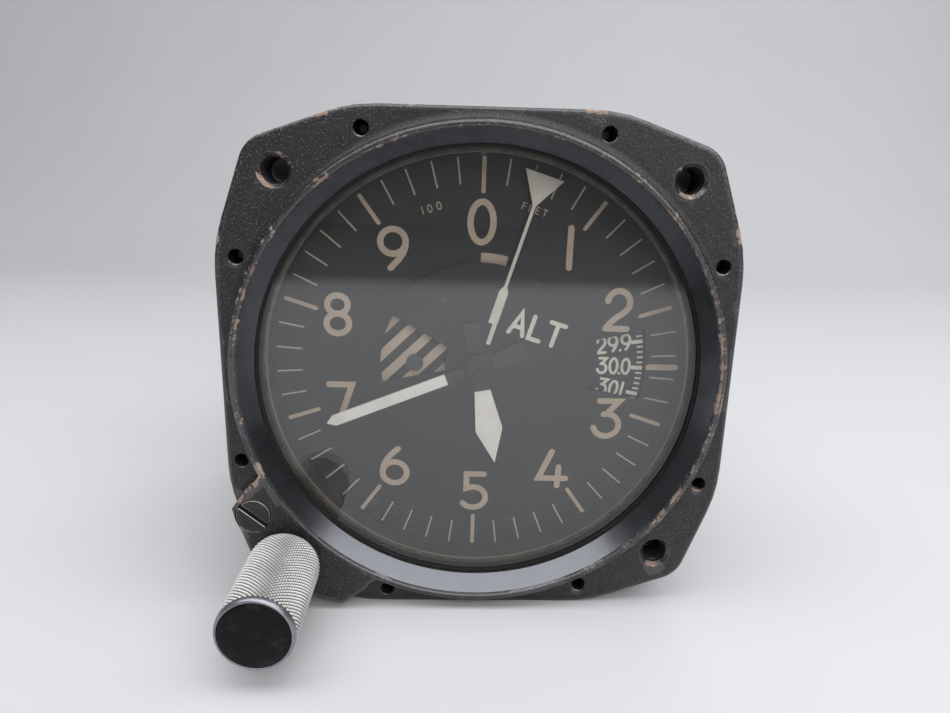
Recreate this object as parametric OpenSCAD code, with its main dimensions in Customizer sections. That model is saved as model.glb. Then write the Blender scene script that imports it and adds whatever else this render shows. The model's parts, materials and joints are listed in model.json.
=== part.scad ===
// Three-pointer pressure altimeter for a 3 1/8 inch panel hole.
// The pilot ring enters the panel from behind, and the flange seats on the panel's rear face.
// X is right and Z is up as the dial is read. Y runs from the panel into the instrument.
// The origin is on the dial axis, in the plane of the flange's front face.

/* [Bezel] */
// Width of the square flange across its flat sides
flange_w = 82.55; // [81:0.05:88]
// Length of the flat stretch in the middle of each side
flange_flat = 40; // [37:0.5:44]
// Thickness of the flange
flange_t = 3.6; // [2.8:0.1:4.6]
// Spacing of the panel screws along X and along Z
mount_spacing = 62.87; // [62:0.01:64]
// Tapped diameter of the panel screw holes
mount_hole_d = 4.2; // [2.6:0.1:5]
// Radius of the flange corner round each panel screw
corner_r = 5.5; // [5:0.1:6.5]
// Outside diameter of the pilot ring
pilot_d = 78.8; // [78:0.1:79.3]
// Height of the pilot ring over the flange
pilot_h = 2.7; // [1.8:0.1:4]
// Width of the flat lip on the front of the pilot ring
lip_w = 1.05; // [0.6:0.05:1.6]
// Clear diameter at the inner end of the conical reveal
opening_d = 72.4; // [70.5:0.1:73]
// Depth of the reveal's inner end behind the flange front
reveal_depth = 0.7; // [0.3:0.1:1.2]
// Thickness of the lip that holds the glass
glass_lip_t = 0.5; // [0.3:0.1:1]
// Wall of the skirt that carries the glass and the dial
skirt_wall = 1.1; // [0.8:0.05:1.4]
// Distance of the small case screws from the case wall
case_screw_gap = 2.3; // [2.1:0.05:2.5]
// Angle of the case screws from the middle of each side
case_screw_a = 26; // [22:0.5:28]
// Angle of the two case screws beside the knob boss
boss_screw_a = 21.2; // [19:0.1:24]
// Diameter of the small case screws
case_screw_d = 2.3; // [1.6:0.1:2.4]

/* [Glass and dial] */
// Diameter of the cover glass
glass_d = 74.2; // [73.6:0.1:74.6]
// Thickness of the cover glass
glass_t = 3; // [2:0.1:3.6]
// Thickness of the seal in front of the glass
seal_t = 0.5; // [0.3:0.1:0.8]
// Width of seal that shows inside the reveal
seal_show = 0.35; // [0.1:0.05:0.8]
// Thickness of the gasket behind the glass
gasket_t = 0.8; // [0.5:0.1:1.2]
// Inside diameter of the gasket behind the glass
gasket_d = 69.8; // [69:0.1:70.6]
// Inside diameter of the spacer between glass and dial
spacer_d = 70.4; // [70:0.1:71]
// Height of the spacer between glass and dial
spacer_h = 3.9; // [3.9:0.1:5]
// Thickness of the dial
dial_t = 0.8; // [0.5:0.1:1.2]
// Inner radius of the setting window in the dial
window_in = 19.8; // [18.5:0.1:21]
// Outer radius of the setting window in the dial
window_out = 29.2; // [27:0.1:29.4]
// Angle that the setting window spans
window_span = 25; // [16:0.5:30]
// Distance of the two dial screws from the axis
dial_screw_r = 10.86; // [9.5:0.05:11.5]
// Diameter of the dial screw heads
dial_screw_d = 2.9; // [2.2:0.1:3.4]

/* [Hands] */
// Clockwise angle of the 100-foot hand from twelve o'clock
hundred_angle = 248.2; // [0:0.1:359.9]
// Clockwise angle of the 1,000-foot hand
thousand_angle = 169.2; // [0:0.1:359.9]
// Clockwise angle of the 10,000-foot pointer
ten_thousand_angle = 17.4; // [0:0.1:359.9]
// Thickness of the hands
hand_t = 0.4; // [0.3:0.05:0.5]
// Length of the 100-foot hand
hundred_len = 27.7; // [24:0.1:33]
// Width of the 100-foot hand
hundred_w = 1.9; // [1.2:0.1:2.6]
// Length of the 1,000-foot hand
thousand_len = 17.85; // [14:0.05:22]
// Greatest width of the 1,000-foot hand
thousand_w = 4.75; // [3.6:0.05:6]
// Diameter of the 10,000-foot disc
disc_d = 35; // [30:0.5:37]
// Length of the 10,000-foot pointer to the rim of its triangle
pointer_len = 33.4; // [30:0.1:34]
// Width of the triangle on the 10,000-foot pointer
pointer_tip_w = 6.6; // [4:0.1:8]
// Diameter of the cap on the hand hub
hub_d = 4.9; // [4.4:0.1:6]

/* [Setting knob] */
// Diameter of the knob
knob_d = 11.76; // [9:0.02:13]
// Length of the knob
knob_len = 20; // [12:0.5:26]
// Gap between the knob and its boss
knob_gap = 0.5; // [0.3:0.1:1]
// Diameter of the dark cap in the knob's front
cap_d = 10.4; // [7:0.1:10.6]
// Diameter of the knob shaft
shaft_d = 3.2; // [2.4:0.1:3.4]
// Distance of the lock screw from the left edge of the flange
lock_edge = 4.5; // [4.4:0.05:4.9]
// Distance of the lock screw below the dial axis
lock_drop = 23.8; // [23.2:0.1:24.2]
// Diameter of the lock screw's head
lock_screw_d = 5.5; // [4:0.1:5.6]

/* [Setting gears] */
// Tooth module of the setting gears
setting_module = 0.6; // [0.56:0.01:0.6]
// Teeth on the knob pinion
knob_teeth = 10; // [9:1:10]
// Teeth on the setting idler
setting_idler_teeth = 20; // [19:1:21]
// Teeth on the pressure scale
scale_teeth = 100; // [98:1:101]
// Thickness of the pressure scale
scale_t = 0.8; // [0.6:0.1:1]

/* [Hand gears] */
// Tooth module of the hand gears
hand_module = 0.3; // [0.28:0.01:0.34]
// Tooth module of the drive gears
drive_module = 0.25; // [0.23:0.01:0.26]
// Thickness of the gear wheels
wheel_t = 0.8; // [0.6:0.05:1]
// Space between gear layers
layer_gap = 0.4; // [0.3:0.05:0.6]
// Thickness of the mechanism plates
plate_t = 1.6; // [1.2:0.1:2]
// Diameter of the pillars between the plates
pillar_d = 4; // [3:0.1:5]

/* [Capsules and case] */
// Diameter of the aneroid capsules
capsule_d = 44; // [36:0.5:48]
// Thickness of each capsule at its middle
capsule_h = 6; // [4.5:0.1:7]
// Length of the lever between the link and the rocking shaft
lever_len = 5; // [4.5:0.1:6]
// Wall of the case
case_wall = 1.4; // [1.1:0.05:1.5]
// Thickness of the flange on the case
case_flange_t = 2.5; // [2:0.1:3.5]
// Thickness of the case's rear wall
rear_wall = 2.5; // [2:0.1:4]
// Thread bore of the static port
port_d = 8.7; // [7:0.1:9.5]

/* [Hidden] */
$fn = 64;

// Finishes
black_paint = "#1d1d1f";
black_rubber = "#161616";
brown_gasket = "#5b4a3a";
white_paint = "#d8d5cd";
brass = "#b08d3e";
steel = "#9a9ca0";
aluminium = "#c4c3bd";
ruby = "#a3243b";
copper_alloy = "#b5763f";

// Clearances
fit = 0.02;
running = 0.05;
slack = 0.1;
cut = 0.5;

// Depths, counted along Y from the flange front
seal_y = reveal_depth + glass_lip_t;
glass_y = seal_y + seal_t;
gasket_y = glass_y + glass_t;
spacer_y = gasket_y + gasket_t;
dial_y = spacer_y + spacer_h;
rim_y = dial_y + dial_t;
scale_y = rim_y + 0.3;
rim_h = scale_t + 1.9;
front_y = rim_y + rim_h;
train_y = front_y + plate_t;
layer = wheel_t + layer_gap;
function layer_y(n) = train_y + layer_gap + n * layer;
middle_t = 0.75 * plate_t;
middle_y = layer_y(4);
function drive_y(n) = middle_y + middle_t + layer_gap + n * layer;
rear_y = drive_y(3);
back_y = rear_y + middle_t;

// Hand levels, in front of the dial
disc_gap = 0.8;
hand_pitch = hand_t + 0.6;
disc_y = dial_y - disc_gap - hand_t;
thousand_y = disc_y - hand_pitch;
hundred_y = thousand_y - hand_pitch;
hub_h = 0.6;
hub_y = hundred_y - hub_h;

// Radii of the bezel, the dial stack and the case
pilot_r = pilot_d / 2;
opening_r = opening_d / 2;
glass_r = glass_d / 2;
skirt_in = glass_r + slack;
skirt_out = skirt_in + skirt_wall;
skirt_end = front_y;
case_bore = skirt_out + slack;
case_r = case_bore + case_wall;
shoulder_y = train_y;
case_inner = case_bore - 1;
plate_r = case_inner - 1;
case_gasket_t = 0.4;
case_y = flange_t + case_gasket_t;
case_flange_end = case_y + case_flange_t;

// Points in the dial plane are [X, Z]
function polar(r, a) = [r * cos(a), r * sin(a)];
function turned_point(p, a) = [p[0] * cos(a) - p[1] * sin(a), p[0] * sin(a) + p[1] * cos(a)];
function clock(c) = 90 - c;
function direction(a, b) = atan2(b[1] - a[1], b[0] - a[0]);
// The corner of a triangle that lies ra from p and rb from q, on the left of the way from p to q
function apex(p, q, ra, rb) =
    let (d = norm(q - p), u = (ra * ra - rb * rb + d * d) / (2 * d))
    p + turned_point([u, sqrt(max(0, ra * ra - u * u))], direction(p, q));

axis_p = [0, 0];
hole_c = mount_spacing / 2;
panel_holes = [[-hole_c, hole_c], [hole_c, hole_c], [hole_c, -hole_c]];
knob_p = [-hole_c, -hole_c];
lock_p = [lock_edge - flange_w / 2, -lock_drop];
case_screw_r = case_r + case_screw_gap;
case_head_r = case_screw_d * 0.75;
case_lug = 0.3;
flange_land = 1;
boss_screw_r = case_r + case_head_r + 0.2;
case_screw_list = concat(
    [for (s = [-1, 1]) polar(case_screw_r, 90 + s * case_screw_a)],
    [for (s = [-1, 1]) polar(case_screw_r, s * case_screw_a)],
    [polar(case_screw_r, 180 - case_screw_a), polar(case_screw_r, 270 + case_screw_a)],
    [polar(boss_screw_r, 180 + boss_screw_a), polar(boss_screw_r, 270 - boss_screw_a)]);

// Gear teeth
pressure_angle = 25;
addendum = 0.9;
dedendum = 1.2;
backlash = 0.06;
function pitch_r(z, m) = z * m / 2;
function tip_r(z, m) = pitch_r(z, m) + addendum * m;
function root_r(z, m) = pitch_r(z, m) - dedendum * m;
function involute(a) = tan(a) * 180 / PI - a;
function half_tooth(z, m, r) =
    let (base = pitch_r(z, m) * cos(pressure_angle))
    90 / z - backlash / (z * m) * 180 / PI + involute(pressure_angle) - involute(acos(min(1, base / r)));
function tooth(z, m) =
    let (foot = max(root_r(z, m), pitch_r(z, m) * cos(pressure_angle)), tip = tip_r(z, m))
    let (a = half_tooth(z, m, foot), b = half_tooth(z, m, tip))
    [[root_r(z, m), -a], [foot, -a], [tip, -b], [tip, b], [foot, a], [root_r(z, m), a]];
function gear_points(z, m, phase) =
    [for (i = [0:z - 1], q = tooth(z, m)) polar(q[0], phase + i * 360 / z + q[1])];
// Phase of a gear with zb teeth in mesh with one of za teeth that lies the other way along phi
function mesh(phi, za, phase_a, zb) = phi + 180 + 180 / zb - (phase_a - phi) * za / zb;

// Hand gears: 20 to 50, then 14 to 56, twice
sun_teeth = 20;
idler_teeth = 50;
idler_pinion_teeth = 14;
wheel_teeth = 56;
idler_distance = pitch_r(sun_teeth + idler_teeth, hand_module);
thousand_idler_a = 200;
ten_thousand_idler_a = 320;
thousand_idler_p = polar(idler_distance, thousand_idler_a);
ten_thousand_idler_p = polar(idler_distance, ten_thousand_idler_a);

// Drive gears: sector and pinion, then wheel and pinion
drive_pinion_teeth = 10;
drive_wheel_teeth = 120;
sector_teeth = 144;
rocking_r = 24;
rocking_a = 80.4;
rocking_p = polar(rocking_r, rocking_a);
intermediate_p = apex(rocking_p, axis_p, pitch_r(drive_pinion_teeth + sector_teeth, drive_module),
    pitch_r(drive_pinion_teeth + drive_wheel_teeth, drive_module));
drive_a = direction(axis_p, intermediate_p);
sector_a = direction(intermediate_p, rocking_p);
sector_up = 35.5;
sector_down = 15.5;

// Setting gears
setting_idler_p = apex(axis_p, knob_p, pitch_r(scale_teeth + setting_idler_teeth, setting_module),
    pitch_r(setting_idler_teeth + knob_teeth, setting_module));
setting_room = tip_r(setting_idler_teeth, setting_module) + 0.4;
knob_room = tip_r(knob_teeth, setting_module) + 0.4;
setting_floor = scale_y + scale_t + 0.7;
setting_end = scale_y + scale_t + 1.2;

// Radii of the hand shafts
arbor_r = 0.75;
thousand_in = arbor_r + running;
thousand_out = thousand_in + 0.7;
ten_in = thousand_out + running;
ten_out = ten_in + 0.85;
scale_seat_r = 13.9;
pillar_r = pillar_d / 2;
pillar_ring = plate_r - pillar_r - 0.4;
pillars_p = [for (a = [140, 230, 320]) polar(pillar_ring, a)];

// Capsules
capsule_y = back_y + middle_t + 1.5 + capsule_d / 2;
bracket_back = capsule_y + capsule_d / 2 + 1.5;
bracket_t = middle_t;
floor_z = -20;
post_r = 2;
post_h = 3;
capsule_gap = 1.5;
lower_z = floor_z + post_h;
upper_z = lower_z + capsule_h + capsule_gap;
link_foot_z = upper_z + capsule_h + post_h;
lever_rest = 190;
lever_pin_p = rocking_p + polar(lever_len, lever_rest);
pin_r = 0.6;
link_play = 0.4;
link_x = rocking_p[0] - lever_len * 0.964;
eye_r = pin_r + link_play;
eye_w = 1.6;
case_end = bracket_back + bracket_t + 2.5;
case_rear = case_end + rear_wall;
port_p = [0, 18];

// A flat piece from y to y + h, drawn in the dial plane
module slab(y, h) translate([0, y + h, 0]) rotate([90, 0, 0]) linear_extrude(height = h) children();

// A round bar along Y from y to y + h
module rod(p, y, h, r) translate([p[0], y + h, p[1]]) rotate([90, 0, 0]) cylinder(h = h, r = r);

module pipe(p, y, h, r_out, r_in) {
    difference() {
        rod(p, y, h, r_out);
        rod(p, y - cut, h + 2 * cut, r_in);
    }
}

// A turned piece, with its profile given as [radius, depth]
module turned(p, profile) {
    translate([p[0], 0, p[1]]) rotate([90, 0, 0]) rotate_extrude()
        polygon([for (q = profile) [q[0], -q[1]]]);
}

module gear(p, z, m, phase, y, h) slab(y, h) translate(p) polygon(gear_points(z, m, phase));

// A wheel with a bore and a ring of round crossings
module wheel(p, z, m, phase, y, h, bore, crossings) {
    free_in = bore + 0.9;
    free_out = root_r(z, m) - 0.8;
    crossing_r = min((free_out - free_in) / 2, (free_out + free_in) / 2 * sin(180 / crossings) - 0.4);
    difference() {
        gear(p, z, m, phase, y, h);
        rod(p, y - cut, h + 2 * cut, bore);
        for (i = [0:crossings - 1])
            rod(p + polar((free_in + free_out) / 2, phase + i * 360 / crossings), y - cut, h + 2 * cut,
                crossing_r);
    }
}

// The flange outline: flat sides that slope in to a round corner at each panel screw.
// A land round the case and a lug at each case screw keep the joint closed on a narrow flange.
module flange_block(y, h) {
    half = flange_w / 2;
    start = [flange_flat / 2, half];
    centre = [hole_c, hole_c];
    reach = norm(centre - start);
    round_r = corner_r - 0.02;
    way = direction(start, centre) + asin(round_r / reach);
    touch = start + polar(sqrt(reach * reach - round_r * round_r), way);
    quarter = [[half, start[0]], [touch[1], touch[0]], touch, start];
    slab(y, h) polygon([for (k = [0:3], q = quarter) turned_point(q, 90 * k)]);
    for (k = [0:3]) rod(turned_point(centre, 90 * k), y, h, corner_r);
    for (p = case_screw_list) rod(p, y, h, case_head_r + case_lug);
    rod(axis_p, y, h, case_r + flange_land);
}

module bezel_frame() {
    boss_in = [33, 12.4];
    boss_out = [43, 26.5];
    boss_far = 60;
    relief_r = 3.7;
    bite = 0.3;
    chamfer = 0.55;
    counterbore = 1.4;
    color(black_paint) difference() {
        union() {
            turned(axis_p, [[opening_r, reveal_depth], [pilot_r - lip_w, -pilot_h], [pilot_r, -pilot_h],
                [pilot_r, flange_t], [skirt_out, flange_t], [skirt_out, skirt_end], [skirt_in, skirt_end],
                [skirt_in, seal_y], [opening_r, seal_y]]);
            difference() {
                flange_block(0, flange_t);
                rod(axis_p, -cut, flange_t + 2 * cut, pilot_r - bite);
            }
            difference() {
                intersection() {
                    flange_block(-pilot_h, pilot_h + bite);
                    slab(-pilot_h, pilot_h + bite) polygon([[-boss_in[0], -boss_in[1]], [-boss_out[0],
                        -boss_out[1]],
                        [-boss_far, -boss_far], [-boss_out[1], -boss_out[0]], [-boss_in[1], -boss_in[0]]]);
                }
                rod(axis_p, -pilot_h - cut, pilot_h + bite + 2 * cut, pilot_r - bite);
                for (a = [180 + boss_screw_a, 270 - boss_screw_a])
                    rod(polar(boss_screw_r, a), -pilot_h - cut, pilot_h + cut, relief_r);
            }
        }
        for (p = panel_holes) {
            rod(p, -cut, flange_t + 2 * cut, mount_hole_d / 2);
            turned(p, [[0, -cut], [mount_hole_d / 2 + chamfer + cut, -cut], [mount_hole_d / 2, chamfer],
                [0, chamfer]]);
        }
        for (p = case_screw_list) rod(p, -cut, flange_t + 2 * cut, case_screw_d / 2);
        rod(knob_p, -pilot_h - cut, pilot_h + flange_t + 2 * cut, bushing_r);
        rod(knob_p, flange_t + cut / 2, skirt_end - flange_t, knob_room);
        rod(lock_p, -pilot_h - cut, counterbore + cut, lock_screw_d / 2 + slack);
        rod(lock_p, -pilot_h, pilot_h + flange_t + cut, lock_screw_d / 4);
        rod(setting_idler_p, rim_y - 0.2, rim_h + cut, setting_room);
    }
}

module glass_seal() {
    color(black_rubber) pipe(axis_p, seal_y, seal_t, glass_r, opening_r - seal_show);
}

module cover_glass() {
    bevel = 0.5;
    color("#cfd8d6", 0.25) turned(axis_p, [[0, glass_y], [glass_r - bevel, glass_y], [glass_r,
        glass_y + bevel],
        [glass_r, gasket_y], [0, gasket_y]]);
}

module glass_gasket() {
    color(brown_gasket) pipe(axis_p, gasket_y, gasket_t, glass_r, gasket_d / 2);
}

module dial_spacer() {
    color(black_paint) pipe(axis_p, spacer_y, spacer_h, glass_r, spacer_d / 2);
}

module dial() {
    shaft_hole = ten_out + 1.2;
    side = window_span / 2;
    color(black_paint) difference() {
        rod(axis_p, dial_y, dial_t, glass_r);
        rod(axis_p, dial_y - cut, dial_t + 2 * cut, shaft_hole);
        for (p = [polar(dial_screw_r, 180), polar(dial_screw_r, 0)])
            rod(p, dial_y - cut, dial_t + 2 * cut, dial_screw_d / 4 + fit);
        intersection() {
            pipe(axis_p, dial_y - cut, dial_t + 2 * cut, window_out, window_in);
            slab(dial_y - cut, dial_t + 2 * cut)
                polygon([axis_p, polar(window_out * 2, -side), polar(window_out * 2, side)]);
        }
    }
}

module dial_screws() {
    head = 0.4;
    thread = rim_h - 0.4;
    color(black_paint) for (p = [polar(dial_screw_r, 180), polar(dial_screw_r, 0)]) {
        rod(p, dial_y - head, head, dial_screw_d / 2);
        rod(p, dial_y - head / 2, head / 2 + dial_t + thread, dial_screw_d / 4);
    }
}

module front_plate() {
    rim_in = spacer_d / 2;
    shoulder_r = scale_seat_r + 1.6;
    shoulder = scale_y + scale_t + 0.15;
    color(aluminium) difference() {
        union() {
            rod(axis_p, front_y, plate_t, case_bore - slack);
            pipe(axis_p, rim_y, rim_h + cut, glass_r, rim_in);
            rod(axis_p, rim_y, rim_h + cut, scale_seat_r);
            rod(axis_p, shoulder, front_y - shoulder + cut, shoulder_r);
        }
        rod(axis_p, rim_y - cut, rim_h + plate_t + 2 * cut, ten_out + running);
        for (p = [polar(dial_screw_r, 180), polar(dial_screw_r, 0)])
            rod(p, rim_y - cut, rim_h - 0.4 + cut, dial_screw_d / 4 + fit);
        rod(setting_idler_p, rim_y - cut, setting_floor - rim_y + cut, setting_room);
        rod(setting_idler_p, rim_y, rim_h + plate_t + cut, 1 + fit);
        for (p = [thousand_idler_p, ten_thousand_idler_p])
            rod(p, front_y - cut, plate_t + 2 * cut, 0.8 + fit);
        for (p = pillars_p) rod(p, front_y - cut, plate_t + 2 * cut, pillar_r / 2 + fit);
    }
}

module middle_plate() {
    color(brass) difference() {
        rod(axis_p, middle_y, middle_t, plate_r);
        rod(axis_p, middle_y - cut, middle_t + 2 * cut, tip_r(drive_pinion_teeth, drive_module) + 0.3);
        for (p = [thousand_idler_p, ten_thousand_idler_p])
            rod(p, middle_y - cut, middle_t + 2 * cut, 0.8 + fit);
        for (p = pillars_p) rod(p, middle_y - cut, middle_t + 2 * cut, pillar_r / 2 + fit);
        for (p = [intermediate_p, rocking_p]) rod(p, middle_y - cut, middle_t + 2 * cut, jewel_r + fit);
    }
}

module rear_plate() {
    color(brass) difference() {
        rod(axis_p, rear_y, middle_t, plate_r);
        for (p = [axis_p, intermediate_p]) rod(p, rear_y - cut, middle_t + 2 * cut, jewel_r + fit);
        rod(rocking_p, rear_y - cut, middle_t + 2 * cut, rocking_shaft_r + 0.5);
        for (p = pillars_p) rod(p, rear_y - cut, middle_t + 2 * cut, pillar_r / 2 + fit);
        for (p = bracket_screws_p) rod(p, rear_y - cut, middle_t + 2 * cut, 0.9 + fit);
        rod(hairspring_stud_p, rear_y - cut, middle_t + 2 * cut, hairspring_stud_r + fit);
    }
}

// Pillars with a spigot at each end, riveted into the plates
module pillar_row(y, h, below, above) {
    for (p = pillars_p) {
        rod(p, y, h, pillar_r);
        rod(p, y - below, h + below + above, pillar_r / 2);
    }
}

module front_pillars() {
    color(brass) pillar_row(train_y, middle_y - train_y, plate_t, middle_t / 2);
}

module rear_pillars() {
    color(brass) pillar_row(middle_y + middle_t, rear_y - middle_y - middle_t, middle_t / 2 - fit,
        middle_t);
}

// Ring jewels for the arbors and the rocking shaft
jewel_r = 1.6;
pivot_r = 0.5;
rocking_shaft_r = 1.2;
rocking_pivot_r = 0.7;
module pivot_jewels() {
    color(ruby) {
        pipe(axis_p, rear_y, middle_t, jewel_r, arbor_r + running);
        for (y = [middle_y, rear_y]) pipe(intermediate_p, y, middle_t, jewel_r, pivot_r + running);
        pipe(rocking_p, middle_y, middle_t, jewel_r, rocking_pivot_r + running);
        pipe(rocking_p, bracket_back, bracket_t, jewel_r, rocking_pivot_r + running);
    }
}

module case_gasket() {
    color(black_rubber) difference() {
        flange_block(flange_t, case_gasket_t);
        rod(axis_p, flange_t - cut, case_gasket_t + 2 * cut, case_bore);
        for (p = panel_holes) rod(p, flange_t - cut, case_gasket_t + 2 * cut, mount_hole_d / 2 + 0.5);
        for (p = case_screw_list) rod(p, flange_t - cut, case_gasket_t + 2 * cut, case_screw_d / 2 + slack);
        rod(knob_p, flange_t - cut, case_gasket_t + 2 * cut, knob_room);
        rod(lock_p, flange_t - cut, case_gasket_t + 2 * cut, lock_screw_d / 4);
    }
}

module case_shell() {
    edge = 2;
    wall = 1.4;
    boss_h = 5;
    boss_r = port_d / 2 + 4;
    lobe_end = setting_end + wall;
    color(black_paint) difference() {
        union() {
            flange_block(case_y, case_flange_t);
            turned(axis_p, [[0, case_y], [case_r, case_y], [case_r, case_rear - edge], [case_r - edge,
                case_rear],
                [0, case_rear]]);
            rod(knob_p, case_y, lobe_end - case_y, knob_room + wall);
            rod(setting_idler_p, case_y, lobe_end - case_y, setting_room + wall);
            rod(port_p, case_rear - cut, boss_h + cut, boss_r);
        }
        turned(axis_p, [[0, case_y - cut], [case_bore, case_y - cut], [case_bore, shoulder_y],
            [case_inner, shoulder_y], [case_inner, case_end], [0, case_end]]);
        rod(knob_p, case_y - cut, setting_end - case_y + cut, knob_room);
        rod(knob_p, setting_end - cut, cut + 0.8, shaft_d / 2 + running);
        rod(setting_idler_p, rim_y - 0.2, setting_end - rim_y + 0.2, setting_room);
        for (p = panel_holes) rod(p, case_y - cut, case_flange_t + 2 * cut, mount_hole_d / 2 + 0.5);
        for (p = case_screw_list) rod(p, case_y - cut, case_flange_t + 2 * cut, case_screw_d / 2 + slack);
        rod(port_p, case_end - cut, rear_wall + boss_h + 2 * cut, port_d / 2 + 1.6);
    }
}

module case_screws() {
    head_h = 1.1;
    bite = 2.4;
    color(steel) for (p = case_screw_list) {
        rod(p, case_flange_end, head_h, case_head_r);
        rod(p, flange_t - bite, case_flange_end - flange_t + bite + head_h / 2, case_screw_d / 2 - fit);
    }
}

// Threaded insert that takes the static line
module static_port_insert() {
    collar_h = 1.2;
    boss_h = 5;
    out_r = port_d / 2 + 1.6 - fit;
    color(brass) difference() {
        union() {
            rod(port_p, case_end, rear_wall + boss_h, out_r);
            rod(port_p, case_rear + boss_h, collar_h, out_r + 1.2);
        }
        rod(port_p, case_end - cut, rear_wall + boss_h + collar_h + 2 * cut, port_d / 2);
    }
}

module lock_screw() {
    head = 1.4;
    slot_w = 0.7;
    slot_depth = 0.7;
    color(black_paint) difference() {
        union() {
            rod(lock_p, -pilot_h, head, lock_screw_d / 2);
            rod(lock_p, -pilot_h + head / 2, pilot_h + flange_t - head, lock_screw_d / 4 - fit);
        }
        slab(-pilot_h - cut, slot_depth + cut) translate(lock_p) rotate(-39) square([2 * lock_screw_d,
            slot_w], center = true);
    }
}

bushing_r = shaft_d / 2 + 1.4;
seal_room = shaft_d / 2 + 1.1;
seal_floor = -pilot_h + 1.4;
module knob_bushing() {
    bushing_end = flange_t + 2;
    color(brass) difference() {
        rod(knob_p, -pilot_h, pilot_h + bushing_end, bushing_r - fit);
        rod(knob_p, -pilot_h - cut, pilot_h + bushing_end + 2 * cut, shaft_d / 2 + running);
        rod(knob_p, -pilot_h - cut, seal_floor + pilot_h + cut, seal_room);
    }
}

module knob_seal() {
    color(black_rubber) pipe(knob_p, -pilot_h + 0.4, seal_floor + pilot_h - 0.4, seal_room - fit,
        shaft_d / 2 + running);
}

knob_y = -pilot_h - knob_gap - knob_len;
cap_depth = 1.2;
screw_head_h = 1.1;
knob_floor = 1.6;
module knob_body() {
    r = knob_d / 2;
    dome = min(2.6, r * 0.45);
    front_w = 0.35;
    front_h = 0.8;
    rear = knob_y + knob_len;
    color(aluminium) difference() {
        turned(knob_p, concat([[0, knob_y], [r - front_w, knob_y], [r, knob_y + front_h]],
            [for (a = [0:15:90]) [r - dome + dome * cos(a), rear - dome + dome * sin(a)]], [[0, rear]]));
        rod(knob_p, knob_y - cut, cap_depth + cut, cap_d / 2 + fit);
        rod(knob_p, knob_y, cap_depth + screw_head_h + slack, 2.4 + slack);
        rod(knob_p, knob_y, knob_len / 2, 1 + slack);
        rod(knob_p, knob_y + cap_depth + screw_head_h + knob_floor, knob_len, shaft_d / 2 + fit);
    }
}

module knob_cap() {
    r = cap_d / 2;
    crown = 0.35;
    color(black_rubber) turned(knob_p, [[0, knob_y - crown], [r * 0.6, knob_y - crown * 0.75],
        [r * 0.9, knob_y - crown * 0.2], [r, knob_y + 0.1], [r, knob_y + cap_depth], [0,
            knob_y + cap_depth]]);
}

// Screw under the cap that holds the knob on its shaft
module knob_screw() {
    head_y = knob_y + cap_depth + slack;
    color(steel) {
        rod(knob_p, head_y, screw_head_h, 2.4);
        rod(knob_p, head_y + screw_head_h / 2, knob_floor + 4, 1 - fit);
    }
}

module knob_shaft() {
    front = knob_y + cap_depth + screw_head_h + knob_floor + slack;
    color(steel) difference() {
        rod(knob_p, front, setting_end + 0.6 - front, shaft_d / 2);
        rod(knob_p, front - cut, 5 + cut, 1);
    }
}

knob_phase = direction(knob_p, setting_idler_p);
module knob_pinion() {
    color(brass) difference() {
        gear(knob_p, knob_teeth, setting_module, knob_phase, scale_y - 0.1, scale_t + 0.3);
        rod(knob_p, scale_y - cut, scale_t + 2 * cut, shaft_d / 2 + fit);
    }
}

module setting_idler_stud() {
    color(steel) {
        rod(setting_idler_p, scale_y - 0.1, front_y + plate_t - scale_y + 0.1, 1);
        rod(setting_idler_p, setting_floor - 0.4, 0.4, 1.8);
    }
}

setting_phase = mesh(knob_phase, knob_teeth, knob_phase, setting_idler_teeth);
module setting_idler() {
    color(brass) wheel(setting_idler_p, setting_idler_teeth, setting_module, setting_phase, scale_y,
        scale_t + 0.2, 1 + running, 6);
}

module pressure_scale() {
    phase = mesh(direction(setting_idler_p, axis_p), setting_idler_teeth, setting_phase, scale_teeth);
    color(black_paint) difference() {
        gear(axis_p, scale_teeth, setting_module, phase, scale_y, scale_t);
        rod(axis_p, scale_y - cut, scale_t + 2 * cut, scale_seat_r + running);
    }
}

// A hand drawn along its own length, then turned to its clock angle
module hand(angle, y, outline, bore) {
    color(white_paint) difference() {
        union() {
            slab(y, hand_t) rotate(clock(angle)) polygon(outline);
            rod(axis_p, y, hand_t, bore + 1.3);
        }
        rod(axis_p, y - cut, hand_t + 2 * cut, bore + fit);
    }
}

module hundred_hand() {
    w = hundred_w / 2;
    taper = 1.4;
    tail = 8.5;
    hand(hundred_angle, hundred_y, [[-tail, -1.9], [0, -0.75], [5, -w], [hundred_len - taper, -w],
        [hundred_len, 0],
        [hundred_len - taper, w], [5, w], [0, 0.75], [-tail, 1.9]], arbor_r);
}

module hub_cap() {
    color(black_paint) difference() {
        turned(axis_p, [[0, hub_y], [hub_d / 2 - 0.25, hub_y], [hub_d / 2, hub_y + 0.25], [hub_d / 2,
            hundred_y],
            [0, hundred_y]]);
        rod(axis_p, hub_y - cut, cut + 0.25, 0.4);
        rod(axis_p, hub_y + 0.35, hub_h, arbor_r + fit);
    }
}

module centre_arbor() {
    color(steel) union() {
        rod(axis_p, hub_y + 0.4, rear_y + middle_t - hub_y - 0.4, arbor_r);
        gear(axis_p, sun_teeth, hand_module, 0, layer_y(3), wheel_t);
        gear(axis_p, drive_pinion_teeth, drive_module, drive_a, drive_y(0), wheel_t);
    }
}

module thousand_hand() {
    w = thousand_w / 2;
    hand(thousand_angle, thousand_y, [[-7.5, -1.5], [0, -1], [4.4, -1.37], [thousand_len * 0.65, -w],
        [thousand_len, 0],
        [thousand_len * 0.65, w], [4.4, 1.37], [0, 1], [-7.5, 1.5]], thousand_out);
}

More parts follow.
